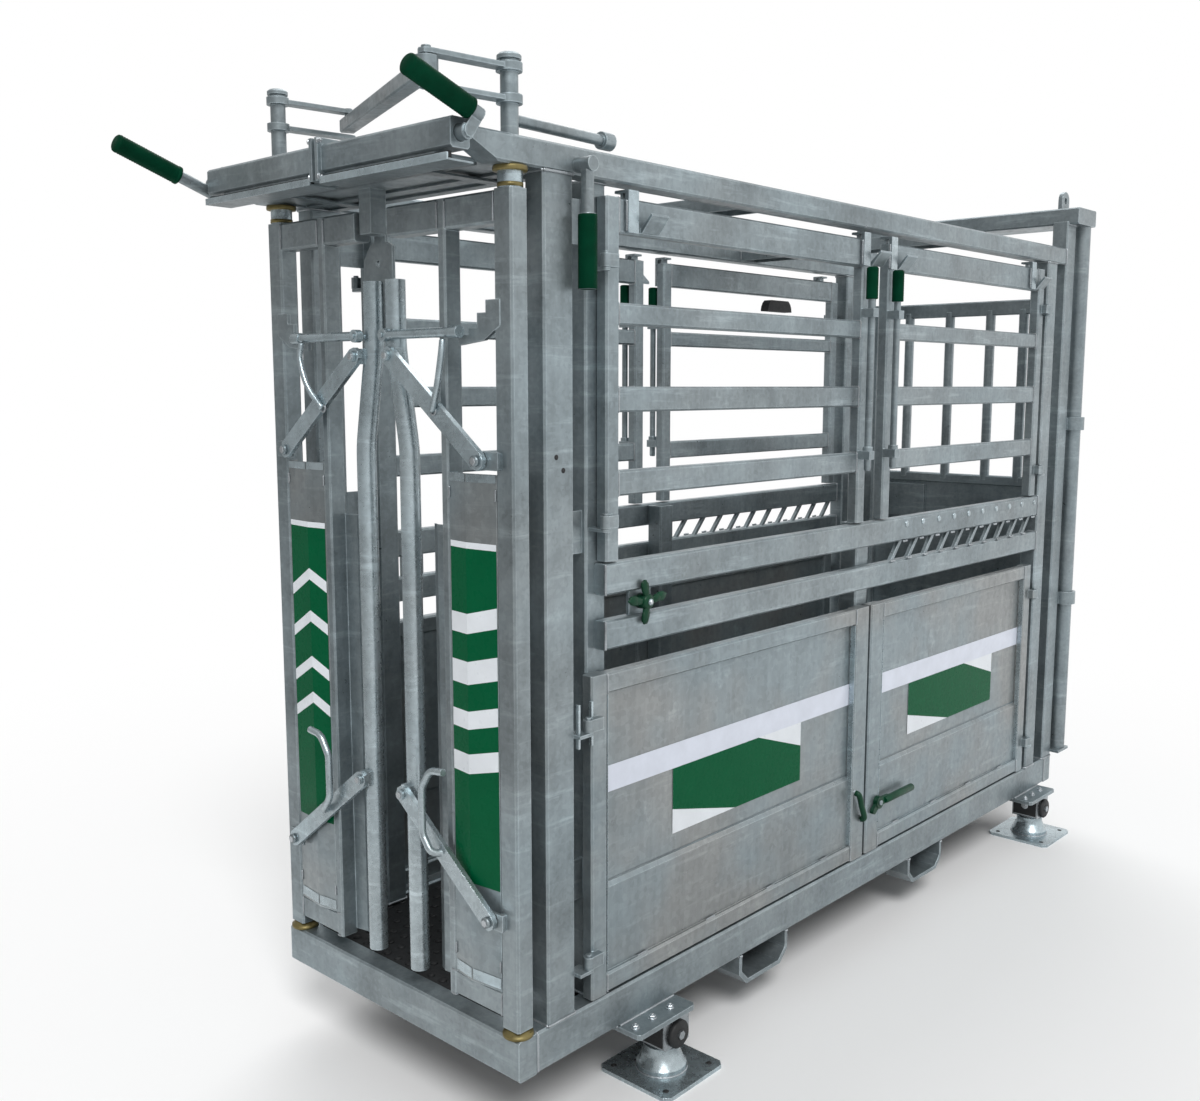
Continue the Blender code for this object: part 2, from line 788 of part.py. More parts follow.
def front_crossbeam():
    """Front cross tube, its bolted centre flange, the portal plate and the centre stop."""
    levels = (CROSS_TUBE_BOTTOM, CROSS_TUBE_BOTTOM + CROSS_TUBE_HEIGHT)
    front = CROSS_TUBE_BACK - CROSS_TUBE_DEPTH
    parts = [tube((-HALF, HALF), (front, CROSS_TUBE_BACK), levels, "X")]
    for centre in FLANGE_CENTRES:
        parts.append(
            block((centre - FLANGE_THICKNESS / 2, centre + FLANGE_THICKNESS / 2),
                  (front - 0.010, CROSS_TUBE_BACK + 0.006), (levels[0] - 0.018, levels[1] + 0.014))
        )
    reach = HALF - RAIL_WIDTH - GAP
    plate_top = CROSS_TUBE_BOTTOM + 0.001
    parts.append(
        block((-reach, reach), (front + 0.008, PORTAL_PLATE_BACK),
              (plate_top - PORTAL_PLATE_THICKNESS, plate_top))
    )
    parts.append(block(CENTRE_ARM_U, CENTRE_ARM_STATION, (CENTRE_ARM_BOTTOM, plate_top - 0.002)))
    (left, right), (low, high) = STOP_PLATE_U, STOP_PLATE_LEVELS
    behind_arm = CENTRE_ARM_BOTTOM + 0.020
    outline = [
        (left, low), (right, low), (right, high - 0.010), (CENTRE_ARM_U[1], high),
        (CENTRE_ARM_U[1], behind_arm), (CENTRE_ARM_U[0], behind_arm), (CENTRE_ARM_U[0], high),
        (left + 0.030, high), (left, high - 0.040),
    ]
    parts.append(prism(outline, "Y", STOP_STATION - 0.0005, STOP_STATION + STOP_PLATE_THICKNESS))
    body = weld(*parts)
    shaft_bore = rod(
        (-HALF - 0.01, LEVER_STATION, LEVER_LEVEL), (HALF + 0.01, LEVER_STATION, LEVER_LEVEL),
        LEVER_SHAFT_RADIUS + 2 * RUNNING, 16,
    )
    hole = Vector(((left + right) / 2, STOP_STATION, high - 0.050))
    stop_hole = rod(hole - Vector((0, 0.02, 0)), hole + Vector((0, 0.02, 0)), 0.008)
    return cut(body, shaft_bore, stop_hole)


def pivot_bush():
    """Flanged bush between the gate's outer stile and the top beam."""
    low, high = GATE_TOP + GAP, POST_HEIGHT - GAP
    length = high - low
    shoulder = (length - 0.008) / length
    bore = SHAFT_RADIUS + 2 * RUNNING
    foot = 0.006 / length
    return turned_loop(
        [
            (0.027, 0.0), (0.027, shoulder), (0.036, shoulder), (0.036, 1.0), (bore, 1.0),
            (bore, foot), (bore, 0.0),
        ],
        (GATE_AXIS_U, GATE_AXIS_STATION, low),
        (GATE_AXIS_U, GATE_AXIS_STATION, high),
    )


def lifting_eye():
    """Upright plate with a round top and a hole for a shackle."""
    station = REAR_PORTAL_STATION + REAR_BEAM_DEPTH / 2 - 0.01
    half = 0.034
    low, high = REAR_PORTAL_TOP - 0.004, REAR_PORTAL_TOP + EYE_PLATE_HEIGHT
    arc = [
        (station + half * math.cos(math.pi * i / 8), high - half + half * math.sin(math.pi * i / 8))
        for i in range(9)
    ]
    outline = [(station - half, low), (station + half, low)] + arc
    u0 = HALF - RAIL_WIDTH
    plate = prism(outline, "X", u0, u0 + EYE_PLATE)
    hole = rod((u0 - 0.01, station, high - half), (u0 + EYE_PLATE + 0.01, station, high - half),
               0.012)
    return cut(plate, hole)


def rear_portal():
    """Rear frame: two posts, the deep top beam, lifting eyes and the gate's hinge bands."""
    stations = (REAR_PORTAL_STATION, REAR_PORTAL_STATION + REAR_PORTAL_DEPTH)
    parts = [
        tube(
            (-HALF, REAR_TUBE_U + 0.035),
            (REAR_PORTAL_STATION + 0.005, REAR_PORTAL_STATION + 0.005 + REAR_BEAM_DEPTH),
            (REAR_PORTAL_TOP - REAR_BEAM_HEIGHT, REAR_PORTAL_TOP), "X",
        )
    ]
    for side in SIDES:
        post = tube((HALF - POST_WIDTH, HALF), stations,
                    (BASE_TOP, REAR_PORTAL_TOP - REAR_BEAM_HEIGHT + 0.01), "Z")
        parts.append(post if side == "right" else mirrored(post))
        eye = lifting_eye()
        parts.append(eye if side == "right" else mirrored(eye))
    for level in REAR_BAND_LEVELS:
        parts.append(
            weld(
                collar(REAR_TUBE_RADIUS + 0.012, REAR_TUBE_RADIUS + 3 * RUNNING,
                       (REAR_TUBE_U, REAR_TUBE_STATION, level - 0.025),
                       (REAR_TUBE_U, REAR_TUBE_STATION, level + 0.025), 20),
                block((REAR_TUBE_U - 0.04, REAR_TUBE_U - 0.005),
                      (stations[1] - 0.004, REAR_TUBE_STATION - REAR_TUBE_RADIUS - 0.004),
                      (level - 0.022, level + 0.022)),
            )
        )
    shelf_top = GATE_BOTTOM + 0.006
    parts.append(
        block((HALF - POST_WIDTH + 0.006, REAR_TUBE_U + 0.034),
              (stations[1] - 0.004, REAR_TUBE_STATION + 0.034), (shelf_top - 0.010, shelf_top))
    )
    return weld(*parts)


# Headgate


def lift_for_offset(out):
    """How far the neck bar has risen when it has moved out by the given distance."""
    angle = math.acos(math.cos(LINK_ANGLE) - out / LINK_LENGTH)
    return LINK_LENGTH * (math.sin(angle) - math.sin(LINK_ANGLE))


def ratchet_plate():
    """Stepped plate whose treads follow the path of the pawl, just behind the pawl's end."""
    stile_in = GATE_AXIS_U - STILE_WIDTH / 2
    first = PAWL_U + PAWL_RADIUS + 0.012
    pitch = (stile_in + 0.004 - first) / (RATCHET_STEPS - 1)
    pawl_bottom = LATCH_BAR_LEVEL - PAWL_RADIUS
    start = PAWL_U - 0.014
    tread = pawl_bottom - RUNNING
    outline = [(start, tread - 0.022), (start, tread)]
    for i in range(RATCHET_STEPS - 1):
        riser = first + pitch * i
        outline.append((riser, tread))
        tread = pawl_bottom + lift_for_offset(riser - PAWL_RADIUS - PAWL_U) - 4 * RUNNING
        outline.append((riser, tread))
    outline.append((stile_in + 0.02, tread))
    outline.append((stile_in + 0.02, tread - 0.055))
    outline.append((stile_in - 0.03, tread - 0.085))
    return prism(outline, "Y", 0.0, 0.010)


def link_anchor(pivot):
    """Lug on the outer stile with the pin that a link turns on."""
    u, level = pivot[0] + LINK_RUN, pivot[1] - LINK_DROP
    stile_in = GATE_AXIS_U - STILE_WIDTH / 2
    lug = block((u - 0.020, stile_in + 0.01), (0.004, 0.014), (level - 0.02, level + 0.02))
    return weld(lug, *link_pin(u, level, 0.006))


def link_pin(u, level, root):
    """Pin that stands forward through a link's eye, with its head."""
    face = LINK_FACE - LINK_THICKNESS
    return (
        rod((u, root, level), (u, face - 0.004, level), LINK_PIN_RADIUS),
        rod((u, face - RUNNING, level), (u, face - 0.008, level), 0.0125),
    )


def gate_frame(side):
    """Outer stile, top and bottom rails, inner stile, ratchet plate and link anchors."""
    axis = GATE_AXIS_U
    stile_u = (axis - STILE_WIDTH / 2, axis + STILE_WIDTH / 2)
    station = (GATE_AXIS_STATION - STILE_DEPTH / 2, GATE_AXIS_STATION + STILE_DEPTH / 2)
    rail_station = (station[0] + 0.002, station[1] - 0.002)
    parts = [tube(stile_u, station, (GATE_BOTTOM + GAP, GATE_TOP - GAP), "Z")]
    parts.append(
        tube((TOP_RAIL_START[side], stile_u[0] + 0.01), rail_station,
             (GATE_TOP - GATE_RAIL_HEIGHT, GATE_TOP - 0.002), "X")
    )
    parts.append(
        tube((INNER_STILE[0] + 0.004, stile_u[0] + 0.01), rail_station, (0.122, 0.165), "X")
    )
    back = STOP_STATION + INNER_STILE_DEPTH
    parts.append(tube(INNER_STILE, (STOP_STATION, back), (0.124, GATE_TOP - 0.004), "Z", 0.004))
    for low, high in ((0.126, 0.160), (GATE_TOP - 0.06, GATE_TOP - 0.01)):
        parts.append(
            block((INNER_STILE[0] + 0.006, INNER_STILE[1] - 0.006),
                  (rail_station[1] - 0.006, STOP_STATION + 0.006), (low, high))
        )
    parts.append(ratchet_plate())
    parts += [link_anchor(pivot) for pivot in (UPPER_LINK_PIVOT, LOWER_LINK_PIVOT)]
    return weld(*parts)


def gate_panel():
    """Folded guard sheet behind the neck bar, with a chamfered leading face."""
    start = INNER_STILE[1] + GAP
    line = [(start, 0.090), (0.232, 0.068), (0.275, 0.215), (0.300, 0.219)]
    return prism(sheet_outline(line, SHEET), "Z", PANEL_BOTTOM, PANEL_TOP)


def sheet_outline(line, thickness):
    """Outline of a folded sheet: a line and the same line moved to its left."""
    shifted = []
    for i, point in enumerate(line):
        before = Vector(line[max(i - 1, 0)])
        after = Vector(line[min(i + 1, len(line) - 1)])
        here = Vector(point)
        normals = []
        for a, b in ((before, here), (here, after)):
            if (b - a).length > 0:
                along = (b - a).normalized()
                normals.append(Vector((-along.y, along.x)))
        bisector = sum(normals, Vector((0.0, 0.0))).normalized()
        stretch = 1.0 / bisector.dot(normals[0])
        moved = here + bisector * thickness * stretch
        shifted.append((moved.x, moved.y))
    return line + shifted[::-1]


def gate_shaft(side):
    """Pivot shaft with its double crank fork, drawn right-handed."""
    axis = Vector((GATE_AXIS_U, GATE_AXIS_STATION))
    forward = -1.0 if side == "right" else 1.0
    tip = axis + Vector((-CRANK_INWARD, forward * CRANK_REACH))
    centre = FORK_LEVEL[side]
    top = centre + FORK_OPENING / 2 + CRANK_STRAP + 0.012
    parts = [
        rod((axis.x, axis.y, GATE_TOP), (axis.x, axis.y, top), SHAFT_RADIUS, 16),
        turned([(0.026, 0.0), (0.026, 0.008), (0.020, 0.013)],
               (axis.x, axis.y, top - 0.002), (axis.x, axis.y, top + 1.0)),
    ]
    for sign in (-1, 1):
        face = centre + sign * FORK_OPENING / 2
        low, high = sorted((face, face + sign * CRANK_STRAP))
        parts.append(prism(capsule(axis, tip, CRANK_WIDTH), "Z", low, high))
        parts.append(rod((axis.x, axis.y, low - 0.004), (axis.x, axis.y, high + 0.004), 0.028, 16))
    if side == "right":
        parts.append(
            rod((tip.x, tip.y, centre - FORK_OPENING / 2 - 0.004),
                (tip.x, tip.y, centre + FORK_OPENING / 2 + CRANK_STRAP + 0.006), CRANK_PIN_RADIUS)
        )
        arm_u = axis.x - 0.012
        parts.append(
            rod((arm_u, axis.y, STOP_ARM_LEVEL), (arm_u - 0.012, STOP_ARM_END, STOP_ARM_LEVEL),
                STOP_ARM_RADIUS)
        )
        parts.append(
            rod((arm_u - 0.011, STOP_ARM_END - 0.034, STOP_ARM_LEVEL),
                (arm_u - 0.012, STOP_ARM_END, STOP_ARM_LEVEL), 0.020, 16)
        )
    else:
        stub = centre + BAR_HEIGHT / 2 + 0.003
        parts.append(
            rod((tip.x, tip.y, stub), (tip.x, tip.y, centre + FORK_OPENING / 2 + 0.014),
                CRANK_PIN_RADIUS)
        )
    return weld(*parts)


def neck_pipe():
    """Bent neck bar with the pins for its two links and its latch bar."""
    station = NECK_STATION
    path = [
        (NECK_TOP_U, station, NECK_TOP), (NECK_TOP_U, station, NECK_BEND_TOP),
        (NECK_LOW_U, station, NECK_BEND_LOW), (NECK_LOW_U, station, NECK_BOTTOM),
    ]
    parts = [pipe(path, NECK_RADIUS, 0.30, 16)]
    for u, level in (UPPER_LINK_PIVOT, LOWER_LINK_PIVOT):
        parts.append(
            block((u - 0.018, u + 0.014), (LINK_FACE + GAP, station - 0.012),
                  (level - 0.018, level + 0.018))
        )
        parts += link_pin(u, level, 0.0)
    latch_u = NECK_TOP_U + 0.012
    parts.append(
        rod((latch_u, 0.0, LATCH_BAR_LEVEL), (latch_u, -0.036, LATCH_BAR_LEVEL), 0.006)
    )
    return weld(*parts)


def link_ends(pivot):
    inner = pivot
    outer = (pivot[0] + LINK_RUN, pivot[1] - LINK_DROP)
    return inner, outer


def link_bores(pivot):
    return [
        rod((u, 0.02, level), (u, -0.06, level), LINK_PIN_RADIUS + RUNNING)
        for u, level in link_ends(pivot)
    ]


def upper_link():
    inner, outer = link_ends(UPPER_LINK_PIVOT)
    strap = prism(capsule(inner, outer, LINK_WIDTH), "Y",
                  LINK_FACE - LINK_THICKNESS + GAP, LINK_FACE)
    return cut(strap, *link_bores(UPPER_LINK_PIVOT))


def lower_link():
    """Lower link with the bowed pull handle welded on its front."""
    inner, outer = link_ends(LOWER_LINK_PIVOT)
    strap = prism(capsule(inner, outer, LINK_WIDTH), "Y",
                  LINK_FACE - LINK_THICKNESS + GAP, LINK_FACE)
    level = inner[1]
    front = LINK_FACE - LINK_THICKNESS - 0.020
    bow = pipe(
        [
            (0.226, LINK_FACE - 0.006, level - 0.110), (0.214, front, level - 0.106),
            (0.184, front, level - 0.066), (0.184, front, level + 0.045),
            (0.216, front, level + 0.093), (0.262, front, level + 0.098),
        ],
        0.009, 0.035, 10,
    )
    return cut(weld(strap, bow), *link_bores(LOWER_LINK_PIVOT))


def latch_bar():
    """Bar from the neck bar to the ratchet, with an eye and a pawl pin."""
    station = -0.022
    eye_u = NECK_TOP_U + 0.012
    level = LATCH_BAR_LEVEL
    eye = rod((eye_u, station - 0.010, level), (eye_u, station + 0.0085, level), 0.015, 16)
    bar = rod((eye_u, station, level), (PAWL_U + 0.012, station, level), LATCH_BAR_RADIUS)
    collar_end = rod((PAWL_U - 0.018, station, level), (PAWL_U + 0.014, station, level), 0.014)
    pawl = rod((PAWL_U, station, level), (PAWL_U, -0.0015, level), PAWL_RADIUS)
    bore = rod((eye_u, 0.01, level), (eye_u, -0.05, level), 0.006 + RUNNING)
    return cut(weld(eye, bar, collar_end, pawl), bore)


def crank_tip(side):
    """Place of a crank's tip in the drawing axes."""
    sign = 1.0 if side == "right" else -1.0
    return Vector(
        (
            sign * (GATE_AXIS_U - CRANK_INWARD),
            GATE_AXIS_STATION - sign * CRANK_REACH,
            FORK_LEVEL[side],
        )
    )


def connecting_bar():
    """Box bar between the two crank forks, eyed on the right fork's pin."""
    start, end = crank_tip("right"), crank_tip("left")
    flat = Vector((end.x - start.x, end.y - start.y, 0.0))
    along = flat.normalized()
    across = Vector((-along.y, along.x, 0.0))
    rise = (end.z - start.z) / flat.length
    rings = []
    for distance in (0.018, flat.length + BAR_TAIL):
        centre = start + along * distance + Vector((0, 0, rise * distance))
        rings.append(
            [
                centre + across * a + Vector((0, 0, b))
                for a, b in chamfered((-BAR_WIDTH / 2, BAR_WIDTH / 2),
                                      (-BAR_HEIGHT / 2, BAR_HEIGHT / 2), 0.004)
            ]
        )
    bar = loft(rings)
    half = FORK_OPENING / 2 - 0.004
    eye = rod(start - Vector((0, 0, half)), start + Vector((0, 0, half)), 0.024, 16)
    bore = rod(start - Vector((0, 0, 0.05)), start + Vector((0, 0, 0.05)),
               CRANK_PIN_RADIUS + RUNNING)
    return cut(weld(bar, eye), bore)


# Levers


def lever_direction():
    return Vector((0.0, -math.cos(LEVER_RISE), math.sin(LEVER_RISE)))


def lever_root(side):
    """Middle of a lever's root, above or below the shaft."""
    back, rise = LEVER_ROOT[side]
    return Vector(handed(side, LEVER_U, LEVER_STATION + back, LEVER_LEVEL + rise))


def operating_shaft():
    """Shaft through the cross tube with an arm plate and a lever tube on each end."""
    parts = [
        rod((-LEVER_U, LEVER_STATION, LEVER_LEVEL), (LEVER_U, LEVER_STATION, LEVER_LEVEL),
            LEVER_SHAFT_RADIUS, 16)
    ]
    for side in SIDES:
        root = lever_root(side)
        tail = root - lever_direction() * (LEVER_TAIL - 0.008)
        parts.append(
            prism(
                capsule((LEVER_STATION, LEVER_LEVEL), (tail.y, tail.z), 0.026),
                "X", root.x - 0.005, root.x + 0.005,
            )
        )
        reach = LEVER_STUB[side] + GRIP_LENGTH - 0.006
        parts.append(
            rod(root - lever_direction() * LEVER_TAIL, root + lever_direction() * reach,
                LEVER_TUBE_RADIUS)
        )
    return weld(*parts)


def lever_grip(side):
    """Moulded sleeve over the end of an operating lever."""
    start = lever_root(side) + lever_direction() * LEVER_STUB[side]
    inner = LEVER_TUBE_RADIUS + RUNNING
    depth = GRIP_LENGTH - 0.005
    profile = [
        (GRIP_RADIUS - 0.001, 0.0), (GRIP_RADIUS, 0.004), (GRIP_RADIUS, GRIP_LENGTH - 0.004),
        (GRIP_RADIUS - 0.003, GRIP_LENGTH),
    ]
    sleeve = turned(profile, start, start + lever_direction(), 16)
    socket = rod(start - lever_direction() * 0.01, start + lever_direction() * depth, inner)
    return cut(sleeve, socket)


def side_lever():
    """Hanging lever on the outside of the top beam, with its grip."""
    pivot = (HALF + GAP, SIDE_LEVER_STATION, SIDE_LEVER_LEVEL)
    boss = rod(pivot, (SIDE_LEVER_U + 0.018, SIDE_LEVER_STATION, SIDE_LEVER_LEVEL), 0.017, 16)
    arm = rod((SIDE_LEVER_U, SIDE_LEVER_STATION, SIDE_LEVER_LEVEL),
              (SIDE_LEVER_U, SIDE_LEVER_STATION, SIDE_GRIP[0] + 0.01), 0.0145)
    grip = turned(
        [(0.019, 0.0), (0.021, 0.004), (0.021, 0.157), (0.019, 0.161)],
        (SIDE_LEVER_U, SIDE_LEVER_STATION, SIDE_GRIP[0]),
        (SIDE_LEVER_U, SIDE_LEVER_STATION, SIDE_GRIP[1]),
    )
    return weld(boss, arm, grip)


# Side gates and doors


def leaf_eyes(station, levels, towards):
    """Hinge eyes of a leaf, each with the arm that joins it to the stile."""
    eyes = []
    for level in levels:
        top = level + EYE_HEIGHT
        eyes.append(rod((HINGE_U, station, level), (HINGE_U, station, top), EYE_RADIUS, 16))
        ends = sorted((station, towards))
        eyes.append(block((HINGE_U - 0.0115, HINGE_U + 0.0115), ends, (level, top)))
    return eyes


def leaf_bores(station, levels):
    return [
        rod((HINGE_U, station, level - 0.01), (HINGE_U, station, level + EYE_HEIGHT + 0.01),
            PIN_RADIUS + RUNNING)
        for level in levels
    ]


def hook_strap(station):
    """Hook over the gate's top rail, with its bent release tab beside it."""
    plate = block((HALF - 0.004, HALF + 0.006), (station - 0.018, station + 0.018),
                  (1.922, UPPER_TOP + 0.018))
    ledge = block((LEAF_IN - 0.002, HALF + 0.003), (station - 0.018, station + 0.018),
                  (UPPER_TOP + 0.012, UPPER_TOP + 0.018))
    web = block((LEAF_IN + 0.012, LEAF_IN + 0.018), (station - 0.014, station + 0.014),
                (UPPER_TOP - 0.008, UPPER_TOP + 0.014))
    tab_outline = [
        (HALF - 0.005, 1.926), (HALF - 0.005, 1.934), (HALF + 0.030, 1.968), (HALF + 0.033, 1.963),
        (HALF + 0.002, 1.926),
    ]
    tab = prism(tab_outline, "Y", station + 0.034, station + 0.096)
    return weld(plate, ledge, web, tab)


def upper_gate(end):
    """Barred gate with its hinge eyes, hook straps and drop-rod guides."""
    first, last = UPPER_SPANS[end]
    axis = UPPER_AXES[end]
    u = (LEAF_IN, HALF)
    rail_u = (LEAF_IN + 0.0035, HALF - 0.0035)
    parts = [
        tube(u, (first, first + UPPER_STILE), (UPPER_BOTTOM, UPPER_TOP - 0.002), "Z"),
        tube(u, (last - UPPER_STILE, last), (UPPER_BOTTOM, UPPER_TOP - 0.002), "Z"),
    ]
    for low, high in UPPER_RAILS:
        parts.append(tube(rail_u, (first + 0.01, last - 0.01), (low, high), "Y"))
    hinge_edge = first + 0.02 if end == "front" else last - 0.02
    parts += leaf_eyes(axis, UPPER_HINGE_LEVELS, hinge_edge)
    straps = (first + 0.085, last - 0.035) if end == "front" else (first + 0.018, last - 0.11)
    parts += [hook_strap(station) for station in straps]
    rod_station = drop_rod_station(end)
    rod_u = HALF + DROP_ROD_OUT
    for level in GUIDE_LEVELS:
        parts.append(
            block((HALF - 0.003, rod_u + 0.015), (rod_station - 0.014, rod_station + 0.014),
                  (level, level + GUIDE_HEIGHT))
        )
    bores = leaf_bores(axis, UPPER_HINGE_LEVELS)
    for level in GUIDE_LEVELS:
        bores.append(
            rod((rod_u, rod_station, level - 0.01), (rod_u, rod_station, level + 0.04),
                DROP_ROD_RADIUS + RUNNING)
        )
    return cut(weld(*parts), *bores)


def drop_rod_station(end):
    first, last = UPPER_SPANS[end]
    if end == "front":
        return last - UPPER_STILE / 2 - DROP_ROD_SHIFT
    return first + UPPER_STILE / 2 - DROP_ROD_SHIFT


def drop_rod(end):
    """Round rod with a grip at its top and a collar that rests on the lower guide."""
    station = drop_rod_station(end)
    u = HALF + DROP_ROD_OUT
    base = (u, station, DROP_ROD[0])
    seat = GUIDE_LEVELS[0] + GUIDE_HEIGHT + GAP - DROP_ROD[0]
    grip = DROP_GRIP[0] - DROP_ROD[0]
    top = DROP_GRIP[1] - DROP_ROD[0]
    profile = [
        (DROP_ROD_RADIUS - 0.002, 0.0), (DROP_ROD_RADIUS, 0.003), (DROP_ROD_RADIUS, seat),
        (0.0145, seat), (0.0145, seat + 0.012), (DROP_ROD_RADIUS, seat + 0.012),
        (DROP_ROD_RADIUS, grip), (DROP_GRIP_RADIUS, grip + 0.001),
        (DROP_GRIP_RADIUS, top - 0.004), (DROP_GRIP_RADIUS - 0.004, top),
    ]
    return turned(profile, base, (u, station, DROP_ROD[0] + 1.0), 12)


def lower_door(end):
    """Framed sheet door with a fold line, hinge eyes and its latch fittings."""
    first, last = LOWER_SPANS[end]
    axis = LOWER_AXES[end]
    u = (LEAF_IN, HALF)
    rail_u = (LEAF_IN + 0.001, HALF - 0.001)
    widths = (LOWER_STILE, LOWER_FREE_STILE) if end == "front" else (LOWER_FREE_STILE, LOWER_STILE)
    inner = (first + widths[0], last - widths[1])
    parts = [
        tube(u, (first, inner[0]), (LOWER_BOTTOM, LOWER_TOP), "Z"),
        tube(u, (inner[1], last), (LOWER_BOTTOM, LOWER_TOP), "Z"),
    ]
    for low in (LOWER_BOTTOM + 0.001, LOWER_TOP - LOWER_RAIL):
        parts.append(
            tube(rail_u, (inner[0] - 0.01, inner[1] + 0.01), (low, low + LOWER_RAIL - 0.001), "Y")
        )
    sheet_in = LEAF_IN + 0.014
    step = 0.008
    levels = (LOWER_BOTTOM + LOWER_RAIL - 0.01, FOLD_LEVEL - 0.010, FOLD_LEVEL,
              LOWER_TOP - LOWER_RAIL + 0.01)
    profile = [
        (sheet_in + step, levels[0]), (sheet_in + step, levels[1]), (sheet_in, levels[2]),
        (sheet_in, levels[3]),
    ]
    outline = sheet_outline(profile, SHEET)
    parts.append(prism(outline, "Y", inner[0] - 0.008, inner[1] + 0.008))
    hinge_edge = first + 0.02 if end == "front" else last - 0.02
    parts += leaf_eyes(axis, LOWER_HINGE_LEVELS, hinge_edge)
    if end == "front":
        edge = last
        parts.append(
            pipe(
                [
                    (HALF - 0.004, edge - 0.062, 0.328), (HALF + 0.016, edge - 0.058, 0.318),
                    (HALF + 0.016, edge - 0.024, 0.240), (HALF - 0.004, edge - 0.016, 0.222),
                ],
                0.007, 0.012, 8, 2,
            )
        )
    else:
        parts.append(
            rod((HALF - 0.006, LATCH_STATION, LATCH_LEVEL),
                (HALF + 0.020, LATCH_STATION, LATCH_LEVEL), LINK_PIN_RADIUS)
        )
    return cut(weld(*parts), *leaf_bores(axis, LOWER_HINGE_LEVELS))


def door_latch():
    """Latch lever that turns on the rear door's pin, with a long grip."""
    face = HALF + GAP
    outer = HALF + 0.016
    hub = rod((face, LATCH_STATION, LATCH_LEVEL), (outer, LATCH_STATION, LATCH_LEVEL), 0.020, 16)
    arm = prism(
        capsule((LATCH_STATION, LATCH_LEVEL), (LATCH_STATION + 0.06, LATCH_LEVEL), 0.024),
        "X", face + 0.002, outer - 0.002,
    )
    grip = turned(
        [(0.009, 0.0), (0.012, 0.004), (0.012, 0.174), (0.009, 0.178)],
        (HALF + 0.0125, LATCH_GRIP_END - 0.178, LATCH_LEVEL),
        (HALF + 0.0125, LATCH_GRIP_END + 1.0, LATCH_LEVEL), 12,
    )
    nose = prism(
        capsule((LATCH_STATION, LATCH_LEVEL), (LATCH_STATION - 0.03, LATCH_LEVEL - 0.022), 0.020),
        "X", face + 0.002, outer - 0.002,
    )
    bore = rod((face - 0.01, LATCH_STATION, LATCH_LEVEL), (outer + 0.01, LATCH_STATION, LATCH_LEVEL),
               LINK_PIN_RADIUS + RUNNING)
    return cut(weld(hub, arm, grip, nose), bore)


def wing_handle():
    """Four-winged hand nut on the plate between the side rails."""
    face = LEAF_IN + 0.019 + GAP
    outer = HALF + 0.018
    parts = [rod((face, WING_STATION, WING_LEVEL), (outer, WING_STATION, WING_LEVEL), 0.019, 16)]
    for degrees in (12, 100, 168, 262):
        angle = math.radians(degrees)
        tip = (WING_STATION + WING_REACH * math.cos(angle),
               WING_LEVEL + 0.7 * WING_REACH * math.sin(angle))
        parts.append(
            prism(capsule((WING_STATION, WING_LEVEL), tip, 0.022), "X", HALF + 0.004, outer - 0.002)
        )
    bore = rod((face - 0.01, WING_STATION, WING_LEVEL), (outer + 0.01, WING_STATION, WING_LEVEL),
               LINK_PIN_RADIUS + RUNNING)
    return cut(weld(*parts), bore)


def rear_gate():
    """Swinging rear gate: hinge tube, barred top and sheeted lower half."""
    low = GATE_BOTTOM + 0.006 + GAP
    high = REAR_PORTAL_TOP - REAR_BEAM_HEIGHT - GAP
    station = REAR_TUBE_STATION
    depth = (station - 0.018, station + 0.018)
    inner = (station - 0.015, station + 0.015)
    parts = [rod((REAR_TUBE_U, station, low), (REAR_TUBE_U, station, high), REAR_TUBE_RADIUS, 20)]
    left, right = -HALF + 0.01, REAR_TUBE_U - REAR_TUBE_RADIUS + 0.012
    stile = 0.04
    stop = REAR_TUBE_U - 0.055
    parts.append(tube((left, left + stile), depth, (0.135, 1.92), "Z"))
    parts.append(tube((stop - stile, stop), depth, (0.135, 1.92), "Z"))
    for rail_low, rail_high in ((0.14, 0.20), (REAR_SHEET_TOP, REAR_SHEET_TOP + 0.04), (1.86, 1.918)):
        parts.append(tube((left + 0.01, right), inner, (rail_low, rail_high), "X"))
    for u in REAR_BAR_U:
        parts.append(
            rod((u, station, REAR_SHEET_TOP + 0.02), (u, station, 1.88), REAR_BAR_RADIUS)
        )
    parts.append(
        block((left + stile - 0.006, stop - stile + 0.006), (station - 0.002, station + 0.002),
              (0.19, REAR_SHEET_TOP + 0.01))
    )
    parts.append(
        block((left + stile + 0.004, left + stile + 0.24), (station - 0.016, station - 0.001),
              (REAR_SHEET_TOP - 0.15, REAR_SHEET_TOP - 0.012))
    )
    return weld(*parts)


# Assembly


def build_static():
    add_node(base_frame(), "base_frame", "galvanised")
    add_node(floor_mat(), "floor_mat", "rubber")
    for end, station in FOOT_STATIONS.items():
        for build, name, finish in ((weigh_foot, "weigh_foot", "galvanised"),
                                    (load_cell, "load_cell", "steel")):
            add_pair(lambda: build(station), f"{name}_{end}", finish)
    add_pair(front_posts, "front_posts", "galvanised")
    add_pair(rear_post, "rear_post", "galvanised")
    add_pair(top_beam, "top_beam", "galvanised")
    add_pair(side_rack, "side_rack", "galvanised")
    add_pair(pivot_bush, "pivot_bush", "zinc_yellow")
    for end, station in ROOF_STATIONS.items():
        add_node(roof_channel(station), f"roof_channel_{end}", "galvanised")
    add_node(front_crossbeam(), "front_crossbeam", "galvanised")
    add_node(rear_portal(), "rear_portal", "galvanised")


